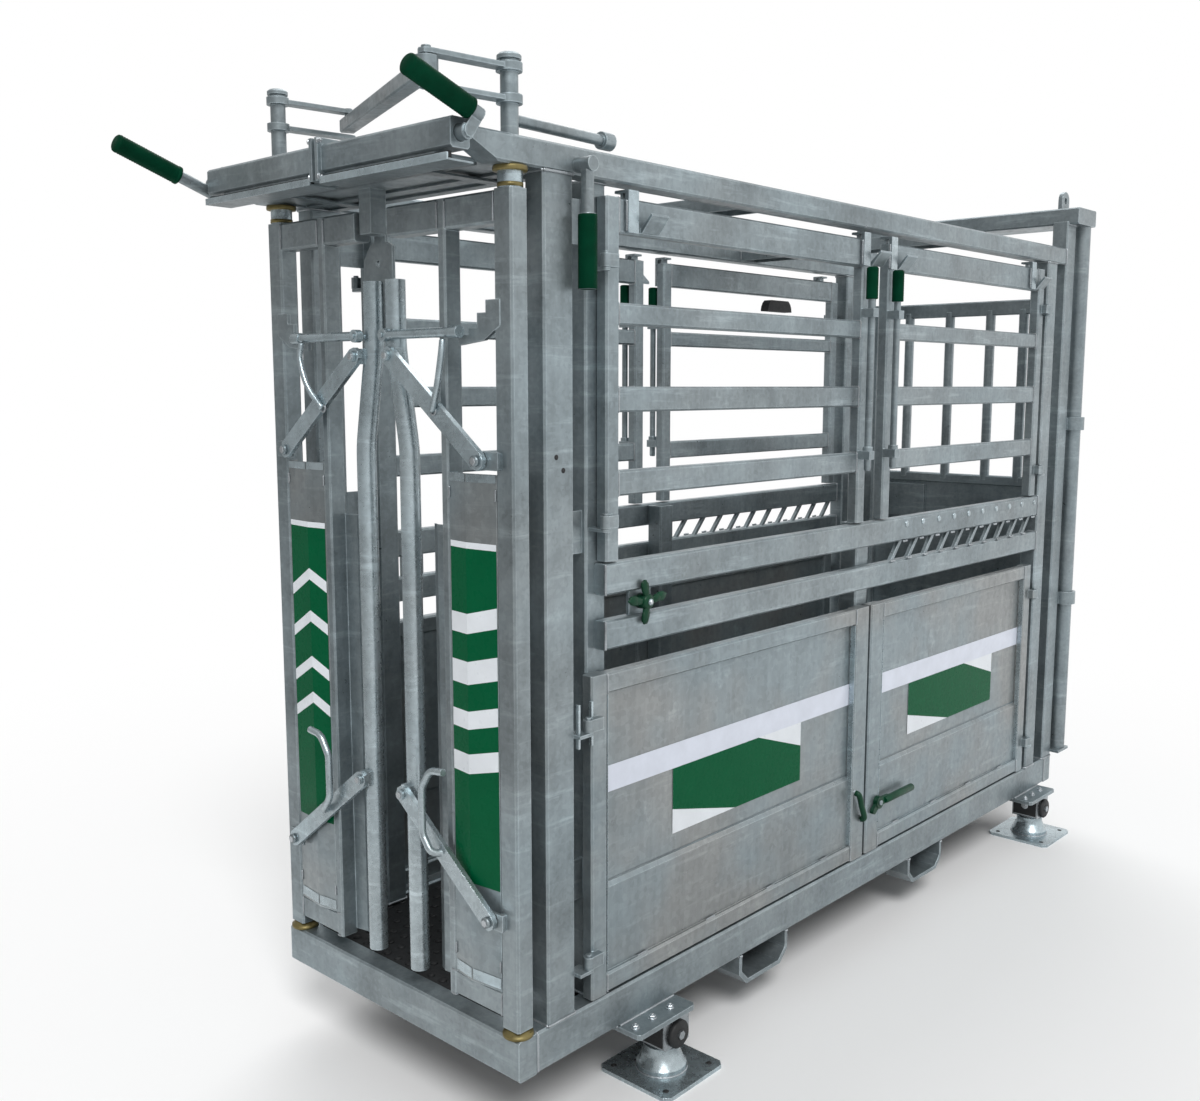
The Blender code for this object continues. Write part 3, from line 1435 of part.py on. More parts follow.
def build_headgate():
    for side in SIDES:
        add_body(f"headgate_{side}", handed(side, GATE_AXIS_U, GATE_AXIS_STATION, GATE_TOP))
        for kind, pivot in (("upper_link", UPPER_LINK_PIVOT), ("lower_link", LOWER_LINK_PIVOT)):
            u, level = link_ends(pivot)[1]
            add_body(f"{kind}_{side}", handed(side, u, LINK_FACE, level), f"headgate_{side}")
        u, level = UPPER_LINK_PIVOT
        add_body(f"neck_{side}", handed(side, u, LINK_FACE, level), f"upper_link_{side}")
        shaft = gate_shaft(side)
        add_node(shaft if side == "right" else mirrored(shaft), f"gate_shaft_{side}", "galvanised",
                 f"headgate_{side}")
        frame = gate_frame(side)
        add_node(frame if side == "right" else mirrored(frame), f"gate_frame_{side}",
                 "galvanised", f"headgate_{side}")
    add_pair(gate_panel, "gate_panel", "green_panel", "headgate")
    add_pair(upper_link, "upper_link", "galvanised", "upper_link")
    add_pair(lower_link, "lower_link", "galvanised", "lower_link")
    add_pair(neck_pipe, "neck_pipe", "galvanised", "neck")
    add_pair(latch_bar, "latch_bar", "galvanised", "neck")
    add_body("connecting_bar", crank_tip("right"), "headgate_right")
    add_node(connecting_bar(), "connecting_bar", "galvanised", "connecting_bar")


def build_levers():
    add_body("operating_levers", (0.0, LEVER_STATION, LEVER_LEVEL))
    add_node(operating_shaft(), "operating_shaft", "galvanised", "operating_levers")
    for side in SIDES:
        add_node(lever_grip(side), f"lever_grip_{side}", "green_grip", "operating_levers")
    add_body("side_lever", (SIDE_LEVER_U, SIDE_LEVER_STATION, SIDE_LEVER_LEVEL))
    add_node(side_lever(), "side_lever", "galvanised", "side_lever")
    add_body("wing_handle", (HALF, WING_STATION, WING_LEVEL))
    add_node(wing_handle(), "wing_handle", "green_grip", "wing_handle")


def build_leaves():
    for end in ("front", "rear"):
        for side in SIDES:
            upper = f"upper_gate_{end}_{side}"
            add_body(upper, handed(side, HINGE_U, UPPER_AXES[end], UPPER_BOTTOM))
            add_body(
                f"drop_rod_{end}_{side}",
                handed(side, HALF + DROP_ROD_OUT, drop_rod_station(end), DROP_ROD[0]), upper,
            )
            add_body(
                f"lower_door_{end}_{side}",
                handed(side, HINGE_U, LOWER_AXES[end], LOWER_BOTTOM),
            )
        add_pair(lambda: upper_gate(end), f"upper_gate_{end}", "galvanised", f"upper_gate_{end}")
        add_pair(lambda: drop_rod(end), f"drop_rod_{end}", "galvanised", f"drop_rod_{end}")
        add_pair(lambda: lower_door(end), f"lower_door_{end}", "galvanised", f"lower_door_{end}")
    for side in SIDES:
        add_body(f"door_latch_{side}", handed(side, HALF, LATCH_STATION, LATCH_LEVEL),
                 f"lower_door_rear_{side}")
    add_pair(door_latch, "door_latch", "green_grip", "door_latch")


def build_rear():
    add_body("rear_gate", (REAR_TUBE_U, REAR_TUBE_STATION, GATE_BOTTOM))
    add_node(rear_gate(), "rear_gate", "galvanised", "rear_gate")


def main():
    clear_scene()
    build_static()
    build_headgate()
    build_levers()
    build_leaves()
    build_rear()
    bpy.context.view_layer.update()


main()
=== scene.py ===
import math
import random

import bpy
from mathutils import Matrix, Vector


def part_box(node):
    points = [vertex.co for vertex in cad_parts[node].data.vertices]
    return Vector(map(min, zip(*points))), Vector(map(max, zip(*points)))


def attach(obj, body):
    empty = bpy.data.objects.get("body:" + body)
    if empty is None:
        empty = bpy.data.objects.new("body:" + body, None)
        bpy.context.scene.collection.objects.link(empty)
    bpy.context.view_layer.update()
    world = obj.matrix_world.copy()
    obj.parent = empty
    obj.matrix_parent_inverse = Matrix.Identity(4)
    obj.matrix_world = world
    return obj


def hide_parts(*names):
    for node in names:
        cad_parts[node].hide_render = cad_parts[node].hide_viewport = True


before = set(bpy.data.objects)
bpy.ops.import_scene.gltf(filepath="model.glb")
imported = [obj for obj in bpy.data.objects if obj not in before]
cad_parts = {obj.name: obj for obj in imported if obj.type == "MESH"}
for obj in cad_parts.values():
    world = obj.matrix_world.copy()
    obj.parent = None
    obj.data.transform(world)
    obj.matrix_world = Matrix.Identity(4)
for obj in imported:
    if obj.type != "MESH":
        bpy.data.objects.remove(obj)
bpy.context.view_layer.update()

# The drawing axes of the part: u across, station from the front face, level from the base
STATION_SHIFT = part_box("base_frame")[0][1]
LEVEL_SHIFT = 0.19
SIDES = (("right", 1), ("left", -1))
ROOT = "crush"

# Outer face of the posts, and inner face of the side gates and doors
HALF = 0.455
LEAF_IN = 0.42

# Stations and levels that more than one section uses
POSTS_AT_BASE = ((0.095, 0.187), (2.72, 2.80), (2.88, 2.96))
FOOT_STATIONS = (0.52, 2.81)
FOOT_U = 0.445
HANGER_SETBACK = 0.070
POCKET_STATIONS = (0.965, 1.92)
ROOF_STATIONS = (0.93, 2.02)
FIXED_RAILS = ((1.09, 1.165), (0.96, 1.03))
RACK_STATIONS = tuple(1.63 + 0.10816 * i for i in range(10))
UPPER_GATES = (("front", 0.295, 1.45), ("rear", 1.555, 2.69))
UPPER_RAILS = ((1.32, 1.38), (1.515, 1.574), (1.715, 1.765), (1.92, 1.998))
LOWER_DOORS = (("front", 0.245, 1.50025), ("rear", 1.51525, 2.69))
DOOR_SHEETS = (("front", 0.301, 1.424), ("rear", 1.591, 2.634))
DOOR_PANELS = (("front", 0.57, 1.16), ("rear", 1.80, 2.42))
PANEL_LEVELS = (0.43, 0.604)
STRIPE_LEVELS = (0.604, 0.670)
HOOKS = (("front", (0.380, 1.415)), ("rear", (1.573, 2.580)))
DROP_RODS = (("front", 1.4175), ("rear", 1.5675))
GRIP_U = 0.479

# Axis of the headgate halves, and the pivots of the links at the neck bars
GATE_AXIS = (0.425, 0.027)
LINK_PIVOTS = (("upper_link", 0.065, 1.645), ("lower_link", 0.083, 0.605))
LINK_RUN = 0.30
LINK_DROP = 0.23


def at(u, station, level):
    return Vector((u, station + STATION_SHIFT, level + LEVEL_SHIFT))


# Materials


class Graph:
    """Short way to write a material's node tree."""

    def __init__(self, name, metallic=0.0, roughness=0.5, colour=(0.5, 0.5, 0.5)):
        self.material = bpy.data.materials.new(name)
        self.material.use_nodes = True
        self.tree = self.material.node_tree
        self.shader = self.tree.nodes["Principled BSDF"]
        self.shader.inputs["Metallic"].default_value = metallic
        self.shader.inputs["Roughness"].default_value = roughness
        self.shader.inputs["Base Color"].default_value = (*colour, 1.0)
        self.material.diffuse_color = (*colour, 1.0)

    def node(self, kind, **settings):
        made = self.tree.nodes.new(kind)
        for key, value in settings.items():
            if hasattr(made, key):
                setattr(made, key, value)
            else:
                made.inputs[key.replace("_", " ")].default_value = value
        return made

    def link(self, start, end):
        self.tree.links.new(start, end)
        return end

    def place(self, scale=(1, 1, 1), turn=(0, 0, 0), shift=(0, 0, 0)):
        """Object coordinates, scaled and turned."""
        source = self.node("ShaderNodeTexCoord")
        mapping = self.node("ShaderNodeMapping")
        mapping.inputs["Scale"].default_value = scale
        mapping.inputs["Rotation"].default_value = turn
        mapping.inputs["Location"].default_value = shift
        self.link(source.outputs["Object"], mapping.inputs["Vector"])
        return mapping.outputs["Vector"]

    def noise(self, vector, scale, detail=4.0, rough=0.5):
        made = self.node("ShaderNodeTexNoise", Scale=scale, Detail=detail, Roughness=rough)
        self.link(vector, made.inputs["Vector"])
        return made.outputs["Fac"]

    def cells(self, vector, scale):
        made = self.node("ShaderNodeTexVoronoi", Scale=scale)
        self.link(vector, made.inputs["Vector"])
        return made

    def span(self, value, low, high, to_low=0.0, to_high=1.0):
        made = self.node("ShaderNodeMapRange")
        for key, number in (("From Min", low), ("From Max", high), ("To Min", to_low),
                            ("To Max", to_high)):
            made.inputs[key].default_value = number
        self.link(value, made.inputs["Value"])
        return made.outputs["Result"]

    def math(self, operation, a, b):
        made = self.node("ShaderNodeMath", operation=operation)
        for socket, value in zip(made.inputs, (a, b)):
            if isinstance(value, (int, float)):
                socket.default_value = value
            else:
                self.link(value, socket)
        return made.outputs["Value"]

    def total(self, *values):
        result = values[0]
        for value in values[1:]:
            result = self.math("ADD", result, value)
        return result

    def mix(self, factor, a, b):
        """Blend of two colours by the value of a socket."""
        made = self.node("ShaderNodeMix", data_type="RGBA")
        for key, value in ((0, factor), (6, a), (7, b)):
            socket = made.inputs[key]
            if isinstance(value, tuple):
                socket.default_value = (*value, 1.0)
            else:
                self.link(value, socket)
        return made.outputs[2]

    def scaled(self, colour, factor):
        made = self.node("ShaderNodeVectorMath", operation="SCALE")
        self.link(colour, made.inputs[0])
        self.link(factor, made.inputs["Scale"])
        return made.outputs["Vector"]

    def bump(self, height, strength, distance, normal=None):
        made = self.node("ShaderNodeBump", Strength=strength, Distance=distance)
        self.link(height, made.inputs["Height"])
        if normal is not None:
            self.link(normal, made.inputs["Normal"])
        return made.outputs["Normal"]

    def bevel(self, radius):
        return self.node("ShaderNodeBevel", samples=4, Radius=radius).outputs["Normal"]

    def edges(self, radius):
        """Near 1 at an outer or inner edge of the mesh, 0 on a flat face."""
        flat = self.node("ShaderNodeNewGeometry").outputs["Normal"]
        product = self.node("ShaderNodeVectorMath", operation="DOT_PRODUCT")
        self.link(self.bevel(radius), product.inputs[0])
        self.link(flat, product.inputs[1])
        return self.span(product.outputs["Value"], 0.80, 0.998, 1.0, 0.0)


def galvanised(name, base=0.285, seed=0.0, sheet=False, metal=0.72, shine=0.0, edge_wear_and_highlight=1.15):
    """Hot-dip zinc: spangle, clouds, drip runs, bright wipe marks that are partly painted highlight
    streaks, and edges lightened partly by wear and partly as painted highlight.
    """
    cool = (base * 0.84, base, base * 1.07)
    warm = (base * 0.965, base * 0.985, base * 0.970)
    g = Graph(name, metal, 0.38, cool)
    where = g.place(shift=(seed, seed * 1.7, seed * 0.6))
    spangle = g.cells(where, 70.0 if sheet else 105.0)
    fleck = g.node("ShaderNodeSeparateColor")
    g.link(spangle.outputs["Color"], fleck.inputs[0])
    clouds = g.noise(where, 4.2, 6.0, 0.66)
    fine = g.noise(where, 42.0, 3.0, 0.6)
    runs = g.noise(g.place((40.0, 40.0, 2.6), shift=(seed, 0, 0)), 1.0, 4.0, 0.62)
    # Long slanted streaks that lighten the zinc: wipe marks, and painted highlight streaks
    wipe_marks_and_highlight_streaks = g.noise(g.place((3.0, 3.0, 30.0), (0.55, 0.35, 0.2)), 1.0, 5.0, 0.70)
    blots = g.noise(where, 11.0, 5.0, 0.7)
    # Edges lightened where the blotch noise allows: wear, and painted edge highlight
    edge_wear_and_highlight_mask = g.math("MULTIPLY", g.edges(0.005), g.span(blots, 0.36, 0.60, 0.25, 1.0))
    tone = g.total(
        1.0,
        g.span(clouds, 0.32, 0.68, -0.12 if sheet else -0.26, 0.12 if sheet else 0.24),
        g.span(fleck.outputs[0], 0.0, 1.0, -0.07, 0.07),
        g.span(runs, 0.34, 0.74, -0.05, 0.09),
        g.span(wipe_marks_and_highlight_streaks, 0.56, 0.72, 0.0, 0.22 if sheet else 0.42),
        g.span(blots, 0.60, 0.72, 0.0, 0.28),
        g.span(blots, 0.26, 0.38, -0.20, 0.0),
        g.math("MULTIPLY", edge_wear_and_highlight_mask, edge_wear_and_highlight),
    )
    patches = g.span(g.noise(where, 1.9, 3.0, 0.6), 0.42, 0.62, 0.0, 0.8 if sheet else 0.22)
    tint = g.mix(patches, cool, warm)
    g.link(g.scaled(tint, tone), g.shader.inputs["Base Color"])
    rough = g.total(g.span(fine, 0.3, 0.7, 0.24 - shine, 0.38 - shine),
                    g.span(fleck.outputs[1], 0.0, 1.0, 0.0, 0.09),
                    g.span(clouds, 0.35, 0.7, 0.0, 0.10))
    g.link(rough, g.shader.inputs["Roughness"])
    relief = 0.35 if shine else 1.0
    normal = g.bump(fleck.outputs[2], 0.10 * relief, 0.0006, g.bevel(0.0018))
    normal = g.bump(g.noise(where, 240.0, 2.0), 0.09 * relief, 0.0006, normal)
    normal = g.bump(clouds, 0.16 * relief, 0.010, normal)
    normal = g.bump(runs, 0.10, 0.0012, normal)
    g.link(normal, g.shader.inputs["Normal"])
    return g.material


def plain(name, colour, roughness, metallic=0.0, grain=0.0, grain_scale=600.0, vary=0.12,
          gloss=0.5):
    """Paint, plastic, rubber, bare steel, and the near-black painted shade of holes, with faint spots and
    grain.
    """
    g = Graph(name, metallic, roughness, colour)
    g.shader.inputs["Specular IOR Level"].default_value = gloss
    where = g.place()
    spots = g.noise(where, 14.0, 4.0, 0.6)
    dark = tuple(c * (1.0 - vary) for c in colour)
    light = tuple(min(1.0, c * (1.0 + vary)) for c in colour)
    g.link(g.mix(g.span(spots, 0.3, 0.7), dark, light), g.shader.inputs["Base Color"])
    g.link(g.span(g.noise(where, 60.0), 0.3, 0.7, roughness - 0.06, roughness + 0.08),
           g.shader.inputs["Roughness"])
    if grain:
        g.link(g.bump(g.noise(where, grain_scale, 2.0), grain, 0.0008), g.shader.inputs["Normal"])
    return g.material


ZINC = galvanised("galvanised_tube")
ZINC_SHEET = galvanised("galvanised_sheet", 0.29, 3.1, True)
# Darker copy of the zinc: painted shade on parts that lie in shadow
ZINC_PAINTED_SHADE = galvanised("galvanised_inner", 0.20, 7.7)
# Lighter, shinier zinc of the pipes and fittings, also laid on lit faces as painted highlight
ZINC_BRIGHT_AND_PAINTED_HIGHLIGHT = galvanised("galvanised_bright", 0.46, 5.3, metal=0.78, shine=0.10, edge_wear_and_highlight=0.35)
WELD = plain("weld_bead", (0.36, 0.39, 0.41), 0.36, 0.8, 0.6, 420.0, 0.3)
BOLT = plain("zinc_bolt", (0.46, 0.49, 0.51), 0.28, 0.9, 0.15, 900.0)
YELLOW = plain("yellow_zinc", (0.19, 0.155, 0.060), 0.42, 0.6, 0.2, 500.0, 0.35)
GRIP = plain("green_rubber_grip", (0.001, 0.036, 0.017), 0.46, 0.0, 0.5, 900.0, 0.25, 0.03)
HAND = plain("green_plastic", (0.001, 0.040, 0.017), 0.36, 0.0, 0.2, 700.0, 0.3, 0.25)
PRINT_GREEN = plain("printed_green", (0.0, 0.092, 0.034), 0.28, 0.0, 0.05, 300.0, 0.05, 0.06)
PRINT_WHITE = plain("printed_white", (0.74, 0.78, 0.82), 0.32, 0.0, 0.05, 300.0, 0.05)
STRIPE = plain("white_stripe", (0.66, 0.70, 0.79), 0.34, 0.1, 0.05, 300.0, 0.06)
RUBBER = plain("black_rubber", (0.010, 0.011, 0.012), 0.60, 0.0, 0.4, 300.0, 0.3)
STEEL = plain("machined_steel", (0.36, 0.39, 0.41), 0.30, 0.9, 0.2, 500.0, 0.15)
# Near-black painted shade inside holes and slots
HOLE_SHADE = plain("dark_hole", (0.012, 0.013, 0.014), 0.7, 0.0, 0.0, 1.0, 0.1)

NODE_LOOKS = (
    ("floor_mat", RUBBER), ("pivot_bush", ZINC_BRIGHT_AND_PAINTED_HIGHLIGHT), ("lever_grip", GRIP), ("wing_handle", HAND),
    ("door_latch", HAND), ("load_cell", STEEL), ("gate_panel", ZINC_SHEET),
    ("lower_door", ZINC_SHEET), ("neck_pipe", ZINC_BRIGHT_AND_PAINTED_HIGHLIGHT), ("upper_link", ZINC_BRIGHT_AND_PAINTED_HIGHLIGHT),
    ("lower_link", ZINC_BRIGHT_AND_PAINTED_HIGHLIGHT), ("latch_bar", ZINC_BRIGHT_AND_PAINTED_HIGHLIGHT), ("weigh_foot", ZINC_BRIGHT_AND_PAINTED_HIGHLIGHT),
)


def smoothing():
    """Node group that shades round surfaces smoothly and keeps their shape."""
    group = bpy.data.node_groups.new("smooth_rounds", "GeometryNodeTree")
    for way in ("INPUT", "OUTPUT"):
        group.interface.new_socket("Geometry", in_out=way, socket_type="NodeSocketGeometry")
    add, link = group.nodes.new, group.links.new
    merge = add("GeometryNodeMergeByDistance")
    merge.inputs["Distance"].default_value = 2e-5
    drop = add("GeometryNodeRemoveAttribute")
    drop.inputs["Name"].default_value = "custom_normal"
    faces, edges = add("GeometryNodeSetShadeSmooth"), add("GeometryNodeSetShadeSmooth")
    edges.domain = "EDGE"
    soft = add("FunctionNodeCompare")
    soft.data_type, soft.operation = "FLOAT", "LESS_THAN"
    soft.inputs[1].default_value = math.radians(38)
    link(add("GeometryNodeInputMeshEdgeAngle").outputs[0], soft.inputs[0])
    link(soft.outputs[0], edges.inputs["Shade Smooth"])
    chain = [add("NodeGroupInput"), merge, drop, faces, edges, add("NodeGroupOutput")]
    for first, second in zip(chain, chain[1:]):
        link(first.outputs[0], second.inputs[0])
    return group


SMOOTH = smoothing()
for name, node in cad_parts.items():
    look = next((m for start, m in NODE_LOOKS if name.startswith(start)), ZINC)
    node.data.materials.clear()
    node.data.materials.append(look)
    node.modifiers.new("smooth_rounds", "NODES").node_group = SMOOTH


# Detail meshes, gathered into one piece for each body and material

pieces = {}


def put(body, look, points, faces, smooth=True, stands_for=None):
    key = (body, look.name, stands_for or "")
    store = pieces.setdefault(key, {"look": look, "v": [], "f": [], "s": []})
    base = len(store["v"])
    store["v"].extend(tuple(p) for p in points)
    store["f"].extend(tuple(base + i for i in face) for face in faces)
    store["s"].extend([smooth] * len(faces))


def rings_faces(count, sides, loop=False):
    """Faces between rings of points: a capped bar, or a closed loop."""
    faces = []
    total = count if loop else count - 1
    for r in range(total):
        n = (r + 1) % count
        for i in range(sides):
            j = (i + 1) % sides
            faces.append((r * sides + i, r * sides + j, n * sides + j, n * sides + i))
    if not loop:
        faces.append(tuple(range(sides))[::-1])
        faces.append(tuple((count - 1) * sides + i for i in range(sides)))
    return faces


def basis(direction):
    direction = direction.normalized()
    side = direction.orthogonal().normalized()
    return side, direction.cross(side), direction


def turned(body, look, start, direction, profile, sides=20, smooth=True, stands_for=None):
    """Profile of (radius, distance) turned about a line."""
    a, b, d = basis(Vector(direction))
    points = []
    for radius, distance in profile:
        for i in range(sides):
            angle = math.tau * i / sides
            points.append(start + d * distance + (a * math.cos(angle) + b * math.sin(angle)) * radius)
    put(body, look, points, rings_faces(len(profile), sides), smooth, stands_for)


def box(body, look, u, station, level):
    """Block between two values of u, of station and of level."""
    x0, y0, z0 = at(min(u), station[0], level[0])
    x1, y1, z1 = at(max(u), station[1], level[1])
    points = [(x, y, z) for x in (x0, x1) for y in (y0, y1) for z in (z0, z1)]
    faces = [(0, 1, 3, 2), (4, 6, 7, 5), (0, 4, 5, 1), (2, 3, 7, 6), (0, 2, 6, 4), (1, 5, 7, 3)]
    put(body, look, points, faces, False)


def plate(body, look, outline, thickness, normal):
    """Flat piece: an outline in space, thickened along its normal."""
    normal = Vector(normal).normalized() * thickness
    count = len(outline)
    points = [Vector(p) for p in outline] + [Vector(p) + normal for p in outline]
    faces = [tuple(range(count)), tuple(range(2 * count - 1, count - 1, -1))]
    faces += [(i, i + count, (i + 1) % count + count, (i + 1) % count) for i in range(count)]
    put(body, look, points, faces, False)


def sweep(body, look, path, radius, sides=14):
    """Round bar along a path, with its bends rounded by a spline."""
    points, fine = [Vector(p) for p in path], []
    for i in range(len(points) - 1):
        p0 = points[max(i - 1, 0)]
        p1, p2 = points[i], points[i + 1]
        p3 = points[min(i + 2, len(points) - 1)]
        for k in range(8):
            t = k / 8
            fine.append(0.5 * ((2 * p1) + (p2 - p0) * t + (2 * p0 - 5 * p1 + 4 * p2 - p3) * t * t
                               + (3 * p1 - p0 - 3 * p2 + p3) * t ** 3))
    fine.append(points[-1])
    side = (fine[1] - fine[0]).orthogonal().normalized()
    made = []
    for i, p in enumerate(fine):
        d = (fine[min(i + 1, len(fine) - 1)] - fine[max(i - 1, 0)]).normalized()
        side = (side - d * side.dot(d)).normalized()
        other = d.cross(side)
        r = radius * (0.86 if i in (0, len(fine) - 1) else 1.0)
        for k in range(sides):
            angle = math.tau * k / sides
            made.append(p + (side * math.cos(angle) + other * math.sin(angle)) * r)
    put(body, look, made, rings_faces(len(fine), sides))


def bead(body, start, end, radius=0.0032, seed=1):
    """Weld bead with ripples."""
    start, end = Vector(start), Vector(end)
    length = (end - start).length
    a, b, d = basis(end - start)
    steps = max(4, int(length / 0.0022))
    dice = random.Random(seed * 7919 + int(length * 1e5))
    points = []
    for i in range(steps + 1):
        ripple = 1.0 + 0.16 * math.sin(i * 2.1) + dice.uniform(-0.10, 0.10)
        if i in (0, steps):
            ripple = 0.35
        wander = a * dice.uniform(-0.0003, 0.0003) + b * dice.uniform(-0.0003, 0.0003)
        for k in range(8):
            angle = math.tau * k / 8
            points.append(start + d * length * i / steps + wander
                          + (a * math.cos(angle) + b * math.sin(angle)) * radius * ripple)
    put(body, WELD, points, rings_faces(steps + 1, 8))


def weld_box(body, axis, where, first, second, radius=0.003, sides="abcd"):
    """Bead round a tube's end: axis and position of the joint, then the section's ranges."""
    (a0, a1), (b0, b1) = first, second
    corners = {"a": ((a0, b0), (a1, b0)), "b": ((a1, b0), (a1, b1)),
               "c": ((a1, b1), (a0, b1)), "d": ((a0, b1), (a0, b0))}
    for key in sides:
        ends = []
        for a, b in corners[key]:
            ends.append({"u": at(where, a, b), "s": at(a, where, b), "l": at(a, b, where)}[axis])
        bead(body, ends[0], ends[1], radius, seed=int(abs(where) * 1000) + ord(key))


def ring_bead(body, centre, normal, radius, thick=0.003, sides=40):
    """Weld bead round a rod."""
    a, b, d = basis(Vector(normal))
    dice = random.Random(int(radius * 1e6) + int(centre.length * 1e4))
    points = []
    for i in range(sides):
        angle = math.tau * i / sides
        out = a * math.cos(angle) + b * math.sin(angle)
        ripple = thick * (1.0 + 0.16 * math.sin(i * 2.1) + dice.uniform(-0.1, 0.1))
        for k in range(6):
            turn = math.tau * k / 6
            points.append(centre + out * (radius + ripple * math.cos(turn)) + d * ripple * math.sin(turn))
    put(body, WELD, points, rings_faces(sides, 6, loop=True))


def bolt(body, centre, direction, size, look=BOLT, washer=True, thread=0.0):
    """Hex head across corners of 2 x size, on a washer, with a domed top."""
    direction = Vector(direction).normalized()
    if washer:
        turned(body, look, centre, direction, [(size * 1.28, 0.0), (size * 1.28, 0.0014),
                                               (size * 1.2, 0.0018)], 24)
    base = centre + direction * 0.0018
    turned(body, look, base, direction,
           [(size, 0.0), (size, size * 0.55), (size * 0.86, size * 0.68)], 6, False)
    if thread:
        grooves = []
        for i in range(int(thread / 0.0012)):
            grooves.append((size * (0.52 if i % 2 else 0.46), size * 0.6 + i * 0.0012))
        turned(body, look, base, direction, grooves, 16)


# Welds of the fixed frame

for side, k in SIDES:
    inner, outer = k * (HALF - 0.06), k * HALF
    span_u = tuple(sorted((inner, outer)))
    inside_u = tuple(sorted((k * 0.36, k * 0.4197)))
    weld_box(ROOT, "s", 0.0605, span_u, (0.003, 0.098), 0.0034, "bc" if k > 0 else "cd")
    weld_box(ROOT, "s", 2.8995, span_u, (0.003, 0.098), 0.0034, "bc" if k > 0 else "cd")
    for level, posts in ((0.1005, POSTS_AT_BASE), (2.029, POSTS_AT_BASE[:2])):
        for stations in posts:
            weld_box(ROOT, "l", level, span_u, stations, 0.0036)
        weld_box(ROOT, "l", level, inside_u, (0.262, 0.33), 0.0036)
    weld_box(ROOT, "l", 2.1805, span_u, (2.8855, 2.96), 0.0034)
    weld_box(ROOT, "s", 2.8795, span_u, (2.032, 2.088), 0.0034)
    for low, high in FIXED_RAILS:
        weld_box(ROOT, "s", 2.7195, tuple(sorted((k * 0.4203, k * HALF))), (low, high), 0.0030)
        bead(ROOT, at(k * 0.4552, 0.2905, low), at(k * 0.4552, 0.2905, high), 0.0034, 8)
    for station in ROOF_STATIONS:
        weld_box(ROOT, "u", k * 0.3945, (station - 0.05, station + 0.05), (2.037, 2.075), 0.0028,
                 "bcd")
    weld_box(ROOT, "u", k * 0.3948, (-0.158, -0.1105), (2.042, 2.098), 0.003, "c")
    for i, station in enumerate(RACK_STATIONS):
        for shift, level in ((0.0, 1.0305), (0.055, 1.0895)):
            low = at(k * 0.4425, station + shift + 0.001, level)
            high = at(k * 0.4425, station + shift + 0.021, level)
            bead(ROOT, low, high, 0.0024, i)
    for station in POCKET_STATIONS:
        for end in (-0.1175, 0.1175):
            bead(ROOT, at(outer - k * 0.002, station + end, -0.001),
                 at(k * (HALF - 0.098), station + end, -0.001), 0.0032, 5)
            bead(ROOT, at(k * 0.4556, station + end * 1.01, 0.0),
                 at(k * 0.4556, station + end * 0.9, 0.0), 0.0032, 5)
    for foot in FOOT_STATIONS:
        centre = foot - HANGER_SETBACK
        bead(ROOT, at(k * 0.4562, centre - 0.105, 0.002), at(k * 0.4562, centre + 0.105, 0.002),
             0.0036, 7)
        for end in (-0.110, 0.110):
            bead(ROOT, at(k * 0.397, centre + end, -0.001), at(k * 0.453, centre + end, -0.001),
                 0.0032, 6)

# Welds of the swinging leaves

for side, k in SIDES:
    for end, first, last in UPPER_GATES:
        body = f"upper_gate_{end}_{side}"
        span_u = tuple(sorted((k * (LEAF_IN + 0.0035), k * (HALF - 0.0035))))
        for low, high in UPPER_RAILS:
            for station in (first + 0.0455, last - 0.0455):
                weld_box(body, "s", station, span_u, (low, high), 0.0027)
    for end, first, last in LOWER_DOORS:
        body = f"lower_door_{end}_{side}"
        stiles = (0.055, 0.075) if end == "front" else (0.075, 0.055)
        face = k * (HALF - 0.0005)
        s0, s1 = first + stiles[0], last - stiles[1]
        for station in (s0, s1):
            bead(body, at(face, station, 0.107), at(face, station, 0.155), 0.0026, 3)
            bead(body, at(face, station, 0.856), at(face, station, 0.904), 0.0026, 4)
        for i in range(4):
            middle = s0 + (s1 - s0) * (i + 0.5) / 4
            bead(body, at(k * 0.4385, middle - 0.02, 0.8545), at(k * 0.4385, middle + 0.02, 0.8545),
                 0.0024, i)
            bead(body, at(k * 0.4465, middle - 0.02, 0.1560), at(k * 0.4465, middle + 0.02, 0.1560),
                 0.0024, i)

# White stripes and plain green panels on the doors, and on each sheet a painted shadow line above the
# fold and painted highlight strips at its ends


def oblong(stations, levels):
    (s0, s1), (l0, l1) = stations, levels
    return [(s0, l0), (s1, l0), (s1, l1), (s0, l1)]


def on_sheet(k, station, level, lift=0.0):
    """Point just proud of a door's recessed sheet, above its fold."""
    return at(k * (0.4347 + lift), station, level)


def door_print_and_shade(body, look, k, outline, lift):
    plate(body, look, [on_sheet(k, s, l, lift) for s, l in outline], 0.0003, (k, 0, 0))


